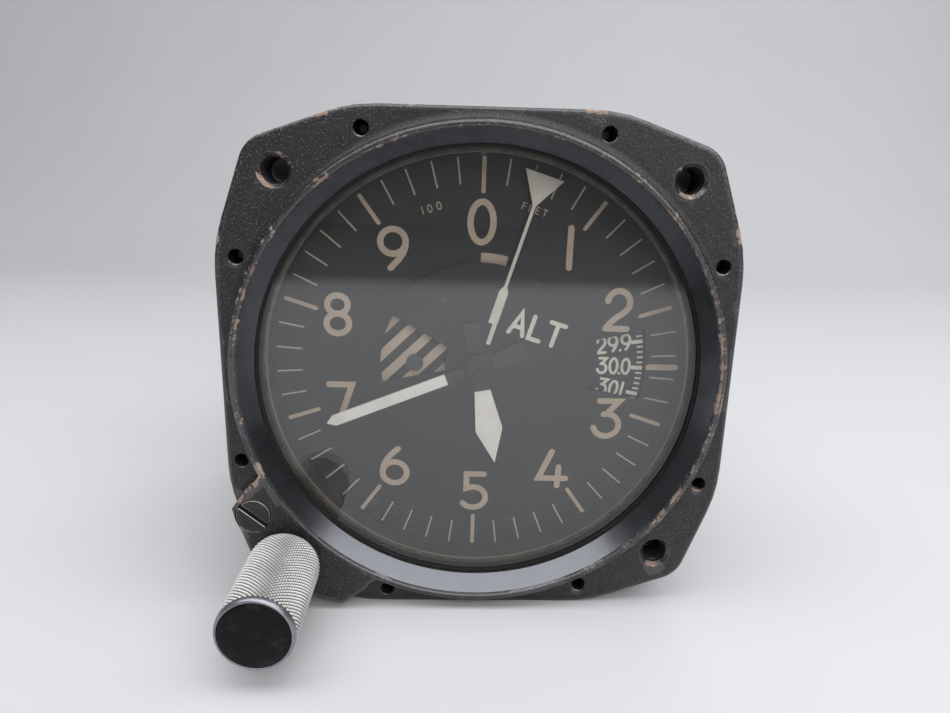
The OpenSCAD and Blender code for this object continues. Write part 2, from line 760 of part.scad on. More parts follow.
module thousand_sleeve() {
    color(brass) difference() {
        union() {
            rod(axis_p, thousand_y, layer_y(2) + wheel_t - thousand_y, thousand_out);
            gear(axis_p, sun_teeth, hand_module, ten_thousand_idler_a, layer_y(1), wheel_t);
        }
        rod(axis_p, thousand_y - cut, layer_y(3) - thousand_y + cut, thousand_in);
    }
}

module thousand_wheel() {
    phase = mesh(thousand_idler_a + 180, idler_pinion_teeth, 0, wheel_teeth);
    color(brass) wheel(axis_p, wheel_teeth, hand_module, phase, layer_y(2), wheel_t, thousand_out + fit, 5);
}

// Disc with a window over the low-altitude stripes, and a slim pointer out to the graduations
module ten_thousand_disc() {
    sight_in = 5.7;
    sight_out = disc_d / 2 - 0.8;
    sight_from = 241.2;
    sight_to = 282.7;
    arm = 0.3;
    tip_w = pointer_tip_w / 2;
    tip_start = pointer_len - 5.3;
    far = disc_d;
    color(black_paint) difference() {
        union() {
            rod(axis_p, disc_y, hand_t, disc_d / 2);
            slab(disc_y, hand_t) rotate(clock(ten_thousand_angle)) polygon([[0, -arm], [tip_start, -arm],
                [pointer_len, -tip_w], [pointer_len, tip_w], [tip_start, arm], [0, arm]]);
        }
        rod(axis_p, disc_y - cut, hand_t + 2 * cut, ten_out + fit);
        intersection() {
            pipe(axis_p, disc_y - cut, hand_t + 2 * cut, sight_out, sight_in);
            slab(disc_y - cut, hand_t + 2 * cut) rotate(-ten_thousand_angle)
                polygon([axis_p, polar(far, clock(sight_from)), polar(far, clock(sight_to))]);
        }
    }
}

module ten_thousand_sleeve() {
    color(brass) pipe(axis_p, disc_y, layer_y(0) + wheel_t - disc_y, ten_out, ten_in);
}

module ten_thousand_wheel() {
    phase = mesh(ten_thousand_idler_a + 180, idler_pinion_teeth, 0, wheel_teeth);
    color(brass) wheel(axis_p, wheel_teeth, hand_module, phase, layer_y(0), wheel_t, ten_out + fit, 5);
}

// Studs between the front and middle plates, with a shoulder beside the idler
stud_r = 0.8;
idler_bore = stud_r + running;
idler_hub_r = root_r(idler_pinion_teeth, hand_module) - 0.1;
module idler_stud(p, shoulder_from, shoulder_to) {
    color(steel) {
        rod(p, front_y, middle_y + middle_t - front_y, stud_r);
        rod(p, shoulder_from, shoulder_to - shoulder_from, stud_r + 0.6);
    }
}

module idler_pinion(p, n) {
    color(steel) difference() {
        union() {
            gear(p, idler_pinion_teeth, hand_module, 0, layer_y(n), wheel_t);
            rod(p, layer_y(n), layer + wheel_t, idler_hub_r);
        }
        rod(p, layer_y(n) - cut, layer + wheel_t + 2 * cut, idler_bore);
    }
}

module idler_wheel(p, a, sun_phase, n) {
    color(brass) wheel(p, idler_teeth, hand_module, mesh(a, sun_teeth, sun_phase, idler_teeth),
        layer_y(n), wheel_t,
        idler_hub_r + fit, 5);
}

module thousand_idler_stud() idler_stud(thousand_idler_p, train_y, layer_y(2) - slack);

module thousand_idler_pinion() idler_pinion(thousand_idler_p, 2);

module thousand_idler_wheel() idler_wheel(thousand_idler_p, thousand_idler_a, 0, 3);

module ten_thousand_idler_stud() idler_stud(ten_thousand_idler_p, layer_y(1) + wheel_t + slack, middle_y);

module ten_thousand_idler_pinion() idler_pinion(ten_thousand_idler_p, 0);

module ten_thousand_idler_wheel() idler_wheel(ten_thousand_idler_p, ten_thousand_idler_a,
    ten_thousand_idler_a, 1);

intermediate_r = root_r(drive_pinion_teeth, drive_module) - 0.05;
module intermediate_arbor() {
    body_from = drive_y(0) - 0.2;
    body_to = rear_y - 0.2;
    color(steel) union() {
        rod(intermediate_p, body_from, body_to - body_from, intermediate_r);
        rod(intermediate_p, middle_y + 0.2, rear_y + middle_t - 0.4 - middle_y, pivot_r);
        gear(intermediate_p, drive_pinion_teeth, drive_module, sector_a, drive_y(1), wheel_t);
    }
}

module intermediate_wheel() {
    color(brass) wheel(intermediate_p, drive_wheel_teeth, drive_module,
        mesh(drive_a, drive_pinion_teeth, drive_a, drive_wheel_teeth), drive_y(0), wheel_t,
            intermediate_r + fit, 6);
}

collet_r = 1.7;
spring_t = 0.15;
spring_h = 0.5;
spring_pitch = 0.75;
spring_turns = 5;
spring_y = drive_y(2);
module hairspring_collet() {
    color(brass) pipe(intermediate_p, spring_y, spring_h, collet_r, intermediate_r + fit);
}

// Flat spiral from just outside the collet to its stud on the rear plate
spring_in = collet_r + 0.2;
spring_out = spring_in + spring_turns * spring_pitch;
spring_end_a = 180;
hairspring_stud_r = 0.5;
hairspring_stud_p = intermediate_p + polar(spring_out + spring_t + hairspring_stud_r + fit, spring_end_a);
module hairspring() {
    steps = spring_turns * 24;
    function arm(side) = [for (i = [0:steps]) polar(spring_in + i / 24 * spring_pitch + side,
        spring_end_a + i * 15)];
    inner = arm(0);
    outer = arm(spring_t);
    color(steel) slab(spring_y, spring_h) translate(intermediate_p)
        polygon(concat(inner, [for (i = [steps:-1:0]) outer[i]]));
}

module hairspring_stud() {
    color(brass) rod(hairspring_stud_p, spring_y, rear_y + middle_t - spring_y, hairspring_stud_r);
}

module rocking_shaft() {
    body_from = middle_y + middle_t + 0.2;
    body_to = bracket_back - 0.3;
    color(steel) {
        rod(rocking_p, body_from, body_to - body_from, rocking_shaft_r);
        rod(rocking_p, middle_y + 0.2, bracket_back + bracket_t - 0.4 - middle_y, rocking_pivot_r);
    }
}

// Toothed sector with a hub, two arms and a rim
module sector_gear() {
    phase = mesh(sector_a, drive_pinion_teeth, sector_a, sector_teeth);
    middle_a = sector_a + 180;
    far = 60;
    hub = 3;
    rim_in = root_r(sector_teeth, drive_module) - 1.6;
    arm_gap = 9;
    color(brass) difference() {
        union() {
            rod(rocking_p, drive_y(1), wheel_t, hub);
            intersection() {
                gear(rocking_p, sector_teeth, drive_module, phase, drive_y(1), wheel_t);
                slab(drive_y(1), wheel_t) translate(rocking_p) polygon([axis_p, polar(far,
                    middle_a - sector_down),
                    polar(far, middle_a + (sector_up - sector_down) / 2), polar(far,
                        middle_a + sector_up)]);
            }
        }
        rod(rocking_p, drive_y(1) - cut, wheel_t + 2 * cut, rocking_shaft_r + fit);
        intersection() {
            pipe(rocking_p, drive_y(1) - cut, wheel_t + 2 * cut, rim_in, hub + 1.5);
            slab(drive_y(1) - cut, wheel_t + 2 * cut) translate(rocking_p) polygon([axis_p,
                polar(far, middle_a - sector_down + arm_gap), polar(far, middle_a + sector_up - arm_gap)]);
        }
    }
}

lever_t = 1;
lever_y = capsule_y - eye_w / 2 - 0.4 - lever_t;
module bimetal_lever() {
    hub = 2.4;
    color(copper_alloy) difference() {
        union() {
            rod(rocking_p, lever_y, lever_t, hub);
            slab(lever_y, lever_t) translate(rocking_p) rotate(lever_rest)
                polygon([[0, -1.6], [lever_len, -1.1], [lever_len, 1.1], [0, 1.6]]);
            rod(lever_pin_p, lever_y, lever_t, 1.1);
            rod(lever_pin_p, lever_y, lever_t + 0.8 + eye_w, pin_r);
        }
        rod(rocking_p, lever_y - cut, lever_t + 2 * cut, rocking_shaft_r + fit);
    }
}

// Link from the top of the capsules to the lever, with an open eye at the lever pin
module capsule_link() {
    eye_p = [link_x, lever_pin_p[1]];
    stem_r = 0.7;
    color(steel) difference() {
        union() {
            rod(eye_p, capsule_y - eye_w / 2, eye_w, eye_r + 0.9);
            translate([link_x, capsule_y, link_foot_z]) cylinder(h = eye_p[1] - eye_r - 0.3 -
                link_foot_z, r = stem_r);
            translate([link_x, capsule_y, link_foot_z]) cylinder(h = 1, r = post_r);
        }
        rod(eye_p, capsule_y - eye_w, 2 * eye_w, eye_r);
    }
}

// One sealed capsule: two corrugated diaphragms soldered at the rim, with a post under and over it
module capsule(z, under, over) {
    r = capsule_d / 2;
    waves = 4;
    wave_h = 0.35;
    rim_t = 0.6;
    flat_r = post_r + 2.5;
    steps = waves * 4;
    // Half the thickness at each step from the flat centre out to the rim
    function half_t(i) = let (s = i / steps)
        rim_t / 2 + (capsule_h - rim_t) / 2 * (1 - s * s) - wave_h * (1 - cos(360 * waves * s)) / 2 * (1
            - s);
    side = [for (i = [0:steps]) [flat_r + (r - flat_r) * i / steps, half_t(i)]];
    profile = concat([[0, capsule_h / 2]], side, [for (i = [steps:-1:0]) [side[i][0], -side[i][1]]],
        [[0, -capsule_h / 2]]);
    color(copper_alloy) translate([link_x, capsule_y, z + capsule_h / 2]) {
        rotate_extrude() polygon(profile);
        translate([0, 0, -capsule_h / 2 - under]) cylinder(h = capsule_h + under + over, r = post_r);
    }
}

module upper_capsule() capsule(upper_z, 0, post_h);

module lower_capsule() {
    thread_r = post_r * 0.7;
    capsule(lower_z, post_h, capsule_gap);
    color(copper_alloy) translate([link_x, capsule_y, floor_z - bracket_t - nut_h])
        cylinder(h = post_h + bracket_t + nut_h, r = thread_r);
}

nut_h = 1.6;
module capsule_nut() {
    color(steel) translate([link_x, capsule_y, floor_z - bracket_t - nut_h]) difference() {
        cylinder(h = nut_h, r = post_r * 1.5, $fn = 6);
        translate([0, 0, -cut]) cylinder(h = nut_h + 2 * cut, r = post_r * 0.7 + fit);
    }
}

// Folded bracket: a foot on the rear plate, a floor under the capsules and a leg for the rocking shaft
bracket_w = 16;
foot_top = 6;
bracket_screw_z = -12;
bracket_screws_p = [for (s = [-1, 1], z = [bracket_screw_z, 0]) [link_x + s * bracket_w / 3, z]];
module bracket_screws() {
    color(steel) for (p = bracket_screws_p) {
        rod(p, back_y + bracket_t, 0.9, 1.6);
        rod(p, rear_y, middle_t + bracket_t + 0.5, 0.9);
    }
}

module capsule_bracket() {
    left = link_x - bracket_w / 2;
    jewel_wall = 2.4;
    leg_right = rocking_p[0] + jewel_r + jewel_wall;
    leg_top = rocking_p[1] + jewel_r + jewel_wall;
    floor_low = floor_z - bracket_t;
    depth = bracket_back + bracket_t - back_y;
    color(aluminium) difference() {
        union() {
            translate([left, back_y, floor_low]) cube([bracket_w, bracket_t, foot_top - floor_low]);
            translate([left, back_y, floor_low]) cube([bracket_w, depth, bracket_t]);
            translate([left, bracket_back, floor_low]) cube([leg_right - left, bracket_t,
                leg_top - floor_low]);
        }
        for (p = bracket_screws_p) rod(p, back_y - cut, bracket_t + 2 * cut, 0.9 + fit);
        rod(rocking_p, bracket_back - cut, bracket_t + 2 * cut, jewel_r + fit);
        translate([link_x, capsule_y, floor_low - cut]) cylinder(h = bracket_t + 2 * cut,
            r = post_r * 0.7 + fit);
    }
}

bezel_frame();
glass_seal();
cover_glass();
glass_gasket();
dial_spacer();
dial();
dial_screws();
front_plate();
middle_plate();
rear_plate();
front_pillars();
rear_pillars();
pivot_jewels();
case_gasket();
case_shell();
case_screws();
static_port_insert();
lock_screw();
knob_bushing();
knob_seal();
knob_body();
knob_cap();
knob_screw();
knob_shaft();
knob_pinion();
setting_idler_stud();
setting_idler();
pressure_scale();
hundred_hand();
hub_cap();
centre_arbor();
thousand_hand();
thousand_sleeve();
thousand_wheel();
ten_thousand_disc();
ten_thousand_sleeve();
ten_thousand_wheel();
thousand_idler_stud();
thousand_idler_pinion();
thousand_idler_wheel();
ten_thousand_idler_stud();
ten_thousand_idler_pinion();
ten_thousand_idler_wheel();
intermediate_arbor();
intermediate_wheel();
hairspring_collet();
hairspring();
hairspring_stud();
rocking_shaft();
sector_gear();
bimetal_lever();
capsule_link();
upper_capsule();
lower_capsule();
capsule_nut();
capsule_bracket();
bracket_screws();
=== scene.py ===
"""An aircraft altimeter with a knurled setting knob, standing on a pale floor."""
import json
import math

import bmesh
import bpy
from mathutils import Matrix, Vector, geometry


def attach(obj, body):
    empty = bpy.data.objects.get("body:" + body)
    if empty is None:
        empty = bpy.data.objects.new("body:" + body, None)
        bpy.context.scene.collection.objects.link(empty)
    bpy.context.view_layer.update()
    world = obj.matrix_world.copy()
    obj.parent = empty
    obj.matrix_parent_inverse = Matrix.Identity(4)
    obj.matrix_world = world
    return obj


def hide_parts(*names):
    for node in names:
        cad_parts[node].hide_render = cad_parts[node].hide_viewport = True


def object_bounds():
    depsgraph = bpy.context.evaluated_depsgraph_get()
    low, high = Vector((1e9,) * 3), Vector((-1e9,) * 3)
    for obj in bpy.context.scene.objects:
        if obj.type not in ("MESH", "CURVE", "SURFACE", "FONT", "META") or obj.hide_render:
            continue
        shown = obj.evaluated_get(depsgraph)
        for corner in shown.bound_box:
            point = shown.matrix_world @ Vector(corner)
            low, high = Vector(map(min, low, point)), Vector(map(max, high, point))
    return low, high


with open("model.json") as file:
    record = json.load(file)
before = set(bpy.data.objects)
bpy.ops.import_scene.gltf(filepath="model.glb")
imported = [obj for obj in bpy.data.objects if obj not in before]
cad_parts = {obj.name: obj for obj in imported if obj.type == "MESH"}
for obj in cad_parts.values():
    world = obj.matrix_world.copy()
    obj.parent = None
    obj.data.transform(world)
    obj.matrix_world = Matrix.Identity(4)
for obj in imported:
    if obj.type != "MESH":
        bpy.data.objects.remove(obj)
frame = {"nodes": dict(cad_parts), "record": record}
size_at_load = [list(corner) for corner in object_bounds()]
MM = 0.001

# Sizes in millimetres. Points in the dial plane are (x, z), and y runs back into the case.
FLANGE_HALF = 41.275
FLANGE_FLAT = 20.0
FLANGE_CORNER = 35.734
FLANGE_CORNER_R = 5.5
FLANGE_SHOULDER_R = 25.0
FLANGE_BACK = 3.6
HOLE = 31.435
HOLE_R = 2.1
SCREW_HOLE_R = 1.15
FLANGE_BORE_R = 39.0
LIP_Y = -2.7
LIP_R = 39.4
OPENING_R = 36.2
OPENING_Y = 0.7
KNOB = (-HOLE, -HOLE)
KNOB_FRONT = -23.2
KNOB_REAR = -3.2
KNOB_R = 5.88
KNOB_BORE_R = 3.0
CAP_R = 5.2
LOCK = (-36.775, -23.8)
LOCK_BORE = 2.87
DIAL_Y = 9.4
DISC_Y = 8.2
DISC_R = 17.5
PAINT_DEPTH = 0.03
SCALE_Y = 10.5
DIAL_TURN = 0.34
HUNDRED_AIM = 248.2
THOUSAND_AIM = 169.2
POINTER_AIM = 17.4


def polar(radius, degrees):
    return (radius * math.cos(math.radians(degrees)), radius * math.sin(math.radians(degrees)))


def clock(radius, degrees):
    return polar(radius, 90 - degrees)


def quarter_turn(steps):
    """Angles from nothing to a right angle, in so many steps."""
    return [math.pi / 2 * i / steps for i in range(steps + 1)]


PANEL_HOLES = [(-HOLE, HOLE), (HOLE, HOLE), (HOLE, -HOLE)]
CASE_SCREWS = [polar(42.1, a) for a in (26, 64, 116, 154, -26, -64)]
BOSS_SCREWS = [polar(41.725, a) for a in (201.2, 248.8)]


# Shader building


class Wires:
    """Adds nodes to a tree and joins them, with plain numbers set on the sockets."""

    def __init__(self, tree):
        self.tree = tree

    def put(self, socket, value):
        if isinstance(value, bpy.types.NodeSocket):
            self.tree.links.new(value, socket)
        else:
            socket.default_value = value

    def node(self, kind, inputs=None, **settings):
        made = self.tree.nodes.new(kind)
        for key, value in settings.items():
            setattr(made, key, value)
        for key, value in (inputs or {}).items():
            self.put(made.inputs[key], value)
        return made

    def math(self, operation, *values):
        return self.node("ShaderNodeMath", dict(enumerate(values)), operation=operation).outputs[0]

    def vector(self, operation, *values):
        made = self.node("ShaderNodeVectorMath", dict(enumerate(values)), operation=operation)
        return made.outputs["Value" if operation in ("LENGTH", "DOT_PRODUCT") else "Vector"]

    def combine(self, **parts):
        return self.node("ShaderNodeCombineXYZ", parts).outputs[0]

    def step(self, value, low, high, start=0.0, end=1.0):
        inputs = {"Value": value, "From Min": low, "From Max": high, "To Min": start, "To Max": end}
        return self.node("ShaderNodeMapRange", inputs, interpolation_type="SMOOTHSTEP").outputs["Result"]

    def blend(self, factor, first, second):
        return self.node("ShaderNodeMix", {0: factor, 6: first, 7: second}, data_type="RGBA").outputs[2]

    def noise(self, vector, scale, detail=4.0, roughness=0.55):
        inputs = {"Vector": vector, "Scale": scale, "Detail": detail, "Roughness": roughness}
        return self.node("ShaderNodeTexNoise", inputs).outputs["Fac"]


def shader_group(name, inputs, outputs):
    """An empty shader group with its sockets. Gives the group, its wires, and what goes in and out."""
    group = bpy.data.node_groups.new(name, "ShaderNodeTree")
    for label, kind in inputs:
        group.interface.new_socket(label, in_out="INPUT", socket_type="NodeSocket" + kind)
    for label, kind in outputs:
        group.interface.new_socket(label, in_out="OUTPUT", socket_type="NodeSocket" + kind)
    wires = Wires(group)
    start = wires.node("NodeGroupInput")
    end = wires.node("NodeGroupOutput")
    return group, wires, start.outputs, end.inputs


def make_grain_group():
    """Fine grain of a finish: a height for bump and a slow mottle."""
    group, w, given, out = shader_group(
        "Finish grain", [("Place", "Vector"), ("Size", "Float")], [("Height", "Float"), ("Mottle", "Float")])
    fine = w.noise(given["Place"], given["Size"], 3.0, 0.6)
    coarse = w.noise(given["Place"], w.math("MULTIPLY", given["Size"], 0.18), 3.0)
    w.put(out["Height"], w.math("MULTIPLY_ADD", coarse, 0.7, fine))
    w.put(out["Mottle"], w.step(coarse, 0.32, 0.68))
    return group


def make_wear_group():
    """Ragged chips where a surface was rubbed: undercoat, then bare metal where it was rubbed most."""
    group, w, given, out = shader_group(
        "Chipped paint", [("Place", "Vector"), ("Rub", "Float")], [("Chip", "Float"), ("Bare", "Float")])
    ragged = w.noise(given["Place"], 1100.0, 5.0, 0.62)
    patchy = w.noise(given["Place"], 230.0, 2.0)
    uneven = w.math("MULTIPLY_ADD", ragged, 1.3, w.math("MULTIPLY_ADD", patchy, 0.8, -1.05))
    level = w.math("ADD", given["Rub"], uneven)
    w.put(out["Chip"], w.step(level, 0.46, 0.52))
    w.put(out["Bare"], w.step(level, 0.82, 0.95))
    return group


def make_speck_group():
    """Small pale specks of dust or of sparkling grain."""
    group, w, given, out = shader_group(
        "Pale specks", [("Place", "Vector"), ("Size", "Float"), ("Share", "Float")], [("Speck", "Float")])
    cells = w.node("ShaderNodeTexVoronoi", {"Vector": given["Place"], "Scale": given["Size"]})
    pick = w.node("ShaderNodeSeparateColor", {"Color": cells.outputs["Color"]})
    small = w.step(cells.outputs["Distance"], 0.12, 0.28, 1.0, 0.0)
    chosen = w.step(pick.outputs[0], 0.0, given["Share"], 1.0, 0.0)
    w.put(out["Speck"], w.math("MULTIPLY", small, chosen))
    return group


GRAIN = make_grain_group()
WEAR = make_wear_group()
SPECKS = make_speck_group()


class Finish:
    """A material with its shader, its object coordinates and its node wires."""

    def __init__(self, name, **settings):
        self.material = bpy.data.materials.new(name)
        self.material.use_nodes = True
        tree = self.material.node_tree
        self.wires = Wires(tree)
        self.shader = tree.nodes["Principled BSDF"]
        self.place = self.wires.node("ShaderNodeTexCoord").outputs["Object"]
        for key, value in settings.items():
            self.set(key.replace("_", " "), value)

    def set(self, key, value):
        self.wires.put(self.shader.inputs[key], value)

    def group(self, tree, **inputs):
        return self.wires.node("ShaderNodeGroup", inputs, node_tree=tree).outputs

    def grain(self, size):
        return self.group(GRAIN, Place=self.place, Size=size)

    def specks(self, size, share):
        return self.group(SPECKS, Place=self.place, Size=size, Share=share)["Speck"]

    def mark(self):
        """The value that a mesh carries at each point, such as how rubbed it is."""
        return self.wires.node("ShaderNodeAttribute", attribute_name="rub").outputs["Fac"]

    def radius(self):
        """The distance from the axis of the hands."""
        return self.wires.vector("LENGTH", self.wires.vector("MULTIPLY", self.place, (1.0, 0.0, 1.0)))

    def bump(self, height, strength, depth, normal=None):
        inputs = {"Height": height, "Strength": strength, "Distance": depth * MM}
        if normal is not None:
            inputs["Normal"] = normal
        self.set("Normal", self.wires.node("ShaderNodeBump", inputs).outputs["Normal"])

    def soft_edge(self, radius):
        """Normals that round the edges of a mesh by a radius in millimetres."""
        return self.wires.node("ShaderNodeBevel", {"Radius": radius * MM}).outputs["Normal"]


def plain_finish(name, colour, other, roughness, metallic, gloss):
    """Metal, rubber or paint with a fine grain, two close tones and softened edges."""
    finish = Finish(name, Metallic=metallic, Specular_IOR_Level=gloss)
    grain = finish.grain(900.0)
    finish.set("Base Color", finish.wires.blend(grain["Mottle"], colour + (1,), other + (1,)))
    uneven = finish.wires.step(grain["Mottle"], 0.0, 1.0, roughness * 0.85, roughness * 1.12)
    finish.set("Roughness", uneven)
    finish.bump(grain["Height"], 0.25, 0.03, finish.soft_edge(0.12))
    return finish.material


def worn_steel_finish():
    """Blackened steel, paler on the edges that a mesh marks as rubbed: partly worn bright, partly a painted
    highlight.
    """
    finish = Finish("black_steel", Metallic=0.75)
    w = finish.wires
    grain = finish.grain(900.0)
    # Partly painted highlight: the pale brassy tone on the marked edges stands in for lamp light catching
    # them, besides real wear.
    worn_edge_highlight = w.step(w.math("MULTIPLY_ADD", grain["Mottle"], 0.12, finish.mark()), 0.86, 1.0, 0.0, 0.85)
    black = w.blend(grain["Mottle"], (0.040, 0.040, 0.042, 1), (0.060, 0.060, 0.063, 1))
    finish.set("Base Color", w.blend(worn_edge_highlight, black, (0.58, 0.55, 0.47, 1)))
    finish.set("Roughness", w.step(grain["Mottle"], 0.0, 1.0, 0.31, 0.40))
    finish.bump(grain["Height"], 0.25, 0.03, finish.soft_edge(0.05))
    return finish.material


def casting_finish(name, rounded):
    """Sandy black paint with sparkling grains, chipped to a copper-brown undercoat where it was rubbed."""
    finish = Finish(name, Specular_IOR_Level=0.55)
    w = finish.wires
    mark = finish.mark()
    wear = finish.group(WEAR, Place=finish.place, Rub=mark)
    grain = finish.grain(2600.0)
    sand = w.step(w.noise(finish.place, 3300.0, 2.0, 0.65), 0.57, 0.7)
    paint = w.blend(grain["Mottle"], (0.007, 0.007, 0.0075, 1), (0.014, 0.0135, 0.0135, 1))
    sandy = w.blend(sand, paint, (0.13, 0.128, 0.13, 1))
    undercoat = w.blend(grain["Mottle"], (0.20, 0.135, 0.105, 1), (0.33, 0.245, 0.195, 1))
    # Where the rub mark holds painted highlight (upper edges, the lip's crest, under the case screw holes),
    # this lighter thinned paint is a painted highlight.
    thin = w.math("MULTIPLY", w.step(mark, 0.09, 0.15), w.step(wear["Chip"], 0.0, 1.0, 0.3, 0.0))
    chipped = w.blend(wear["Chip"], w.blend(thin, sandy, (0.32, 0.32, 0.335, 1)), undercoat)
    finish.set("Base Color", w.blend(wear["Bare"], chipped, (0.46, 0.38, 0.32, 1)))
    shine = w.math("MAXIMUM", w.math("MULTIPLY", wear["Bare"], 0.6), w.math("MULTIPLY", thin, 3.0))
    finish.set("Metallic", shine)
    finish.set("Roughness", w.step(thin, 0.0, 0.3, w.step(sand, 0.0, 1.0, 0.46, 0.3), 0.24))
    height = w.math("SUBTRACT", w.math("ADD", grain["Height"], sand), w.math("MULTIPLY", wear["Chip"], 1.2))
    finish.bump(height, 0.75, 0.07, finish.soft_edge(rounded) if rounded else None)
    return finish.material


def reveal_finish():
    """The turned black cone round the glass, satin, with fine circular tool marks and bright grains."""
    finish = Finish("reveal_black", Metallic=1.0)
    w = finish.wires
    turned = {"W": finish.radius(), "Scale": 9000.0, "Detail": 2.0}
    rings = w.node("ShaderNodeTexNoise", turned, noise_dimensions="1D")
    grain = finish.grain(1800.0)
    base = w.blend(grain["Mottle"], (0.115, 0.119, 0.131, 1), (0.127, 0.131, 0.145, 1))
    sparkle = w.step(w.noise(finish.place, 4200.0, 2.0, 0.6), 0.58, 0.78)
    finish.set("Base Color", w.blend(sparkle, base, (0.17, 0.175, 0.192, 1)))
    finish.set("Roughness", w.step(grain["Mottle"], 0.0, 1.0, 0.20, 0.23))
    height = w.math("MULTIPLY_ADD", rings.outputs["Fac"], 0.8, w.math("MULTIPLY", grain["Height"], 0.5))
    finish.bump(height, 0.1, 0.03)
    return finish.material


def glass_finish():
    """Clear glass that lets light through to the dial."""
    finish = Finish("cover_glass", IOR=1.6, Roughness=0.0)
    finish.set("Transmission Weight", 1.0)
    w = finish.wires
    smear = w.noise(finish.place, 60.0, 5.0, 0.6)
    plain, hazy = (0.99, 0.99, 0.985, 1), (0.96, 0.965, 0.96, 1)
    finish.set("Base Color", w.blend(w.step(smear, 0.4, 0.7), plain, hazy))
    rays = w.node("ShaderNodeLightPath").outputs
    open_to = w.math("MAXIMUM", rays["Is Shadow Ray"], rays["Is Diffuse Ray"])
    clear = w.node("ShaderNodeBsdfTransparent", {"Color": (0.94, 0.94, 0.93, 1)})
    mix = w.node("ShaderNodeMixShader", {0: open_to, 1: finish.shader.outputs[0], 2: clear.outputs[0]})
    w.put(finish.material.node_tree.nodes["Material Output"].inputs["Surface"], mix.outputs[0])
    return finish.material


def print_finish(name, colour, other):
    """Screen-printed paint, slightly uneven."""
    finish = Finish(name, Roughness=0.62, Specular_IOR_Level=0.3)
    grain = finish.grain(1800.0)
    finish.set("Base Color", finish.wires.blend(grain["Mottle"], colour + (1,), other + (1,)))
    finish.bump(grain["Height"], 0.12, 0.01)
    return finish.material


def dial_finish():
    """Matt black dial paint with a little dust."""
    finish = Finish("dial_black", Roughness=0.55, Specular_IOR_Level=0.3)
    w = finish.wires
    grain = finish.grain(300.0)
    paint = w.blend(grain["Mottle"], (0.010, 0.0103, 0.0115, 1), (0.013, 0.0132, 0.0143, 1))
    dust = w.math("MULTIPLY", finish.specks(330.0, 0.05), 0.16)
    finish.set("Base Color", w.blend(dust, paint, (0.4, 0.38, 0.35, 1)))
    finish.set("Normal", finish.soft_edge(0.06))
    return finish.material


def hand_finish(name, aim, white_from):
    """A hand painted white from a straight line outwards, with a black root and tail."""
    finish = Finish(name, Roughness=0.55)
    w = finish.wires
    way = clock(1.0, aim)
    along = w.vector("DOT_PRODUCT", finish.place, (way[0], 0.0, way[1]))
    white = w.step(along, (white_from - 0.04) * MM, (white_from + 0.04) * MM)
    grain = finish.grain(1600.0)
    paint = w.blend(grain["Mottle"], (0.70, 0.67, 0.63, 1), (0.63, 0.60, 0.56, 1))
    finish.set("Base Color", w.blend(white, (0.011, 0.011, 0.012, 1), paint))
    finish.bump(grain["Height"], 0.1, 0.01, finish.soft_edge(0.06))
    return finish.material


def gasket_finish():
    """Brown fibre gasket, darkened to black towards its outer edge as a painted shadow of the seal, and pale
    at its inner lip as a painted highlight.
    """
    finish = Finish("brown_gasket", Roughness=0.8, Specular_IOR_Level=0.3)
    w = finish.wires
    grain = finish.grain(2400.0)
    radius = finish.radius()
    fuzz = w.math("MULTIPLY_ADD", w.math("SUBTRACT", grain["Height"], 0.85), 0.0006, radius)
    brown = w.blend(grain["Mottle"], (0.034, 0.026, 0.020, 1), (0.085, 0.064, 0.048, 1))
    # Painted shadow: black where the seal and the glass edge shade the gasket, with a fibrous edge.
    painted_seal_shadow = w.blend(w.step(fuzz, 35.4 * MM, 35.9 * MM), brown, (0.008, 0.0075, 0.007, 1))
    # Painted highlight: a pale thin ring at the inner lip, where light would catch it.
    finish.set("Base Color", w.blend(w.step(radius, 34.93 * MM, 35.02 * MM), (0.17, 0.16, 0.15, 1), painted_seal_shadow))
    finish.bump(grain["Height"], 0.8, 0.1)
    return finish.material


def knob_finish():
    """Pale knurled aluminium, darker low in the grooves as painted shade."""
    finish = Finish("knob_aluminium", Metallic=0.4)
    w = finish.wires
    grain = finish.grain(1200.0)
    # Painted shade: the metal goes dark towards the bottom of each groove, by the height that the mesh
    # carries.
    plain = w.step(finish.mark(), 0.0, 0.55)
    metal = w.blend(grain["Mottle"], (0.61, 0.60, 0.595, 1), (0.53, 0.52, 0.515, 1))
    finish.set("Base Color", w.blend(plain, (0.06, 0.058, 0.056, 1), metal))
    finish.set("Roughness", w.step(plain, 0.0, 1.0, 0.6, 0.38))
    finish.bump(grain["Height"], 0.2, 0.02)
    return finish.material


def cap_finish():
    """Glossy black front of the knob, scuffed, with a few pale nicks."""
    finish = Finish("cap_black", Specular_IOR_Level=0.12)
    w = finish.wires
    grain = finish.grain(900.0)
    scuffs = w.noise(finish.place, 420.0, 6.0, 0.7)
    black = w.blend(w.step(scuffs, 0.5, 0.75), (0.006, 0.006, 0.0063, 1), (0.028, 0.027, 0.027, 1))
    nicks = w.math("MULTIPLY", finish.specks(700.0, 0.06), 0.5)
    finish.set("Base Color", w.blend(nicks, black, (0.3, 0.29, 0.28, 1)))
    finish.set("Roughness", w.step(grain["Mottle"], 0.0, 1.0, 0.26, 0.42))
    finish.bump(grain["Height"], 0.3, 0.03)
    return finish.material


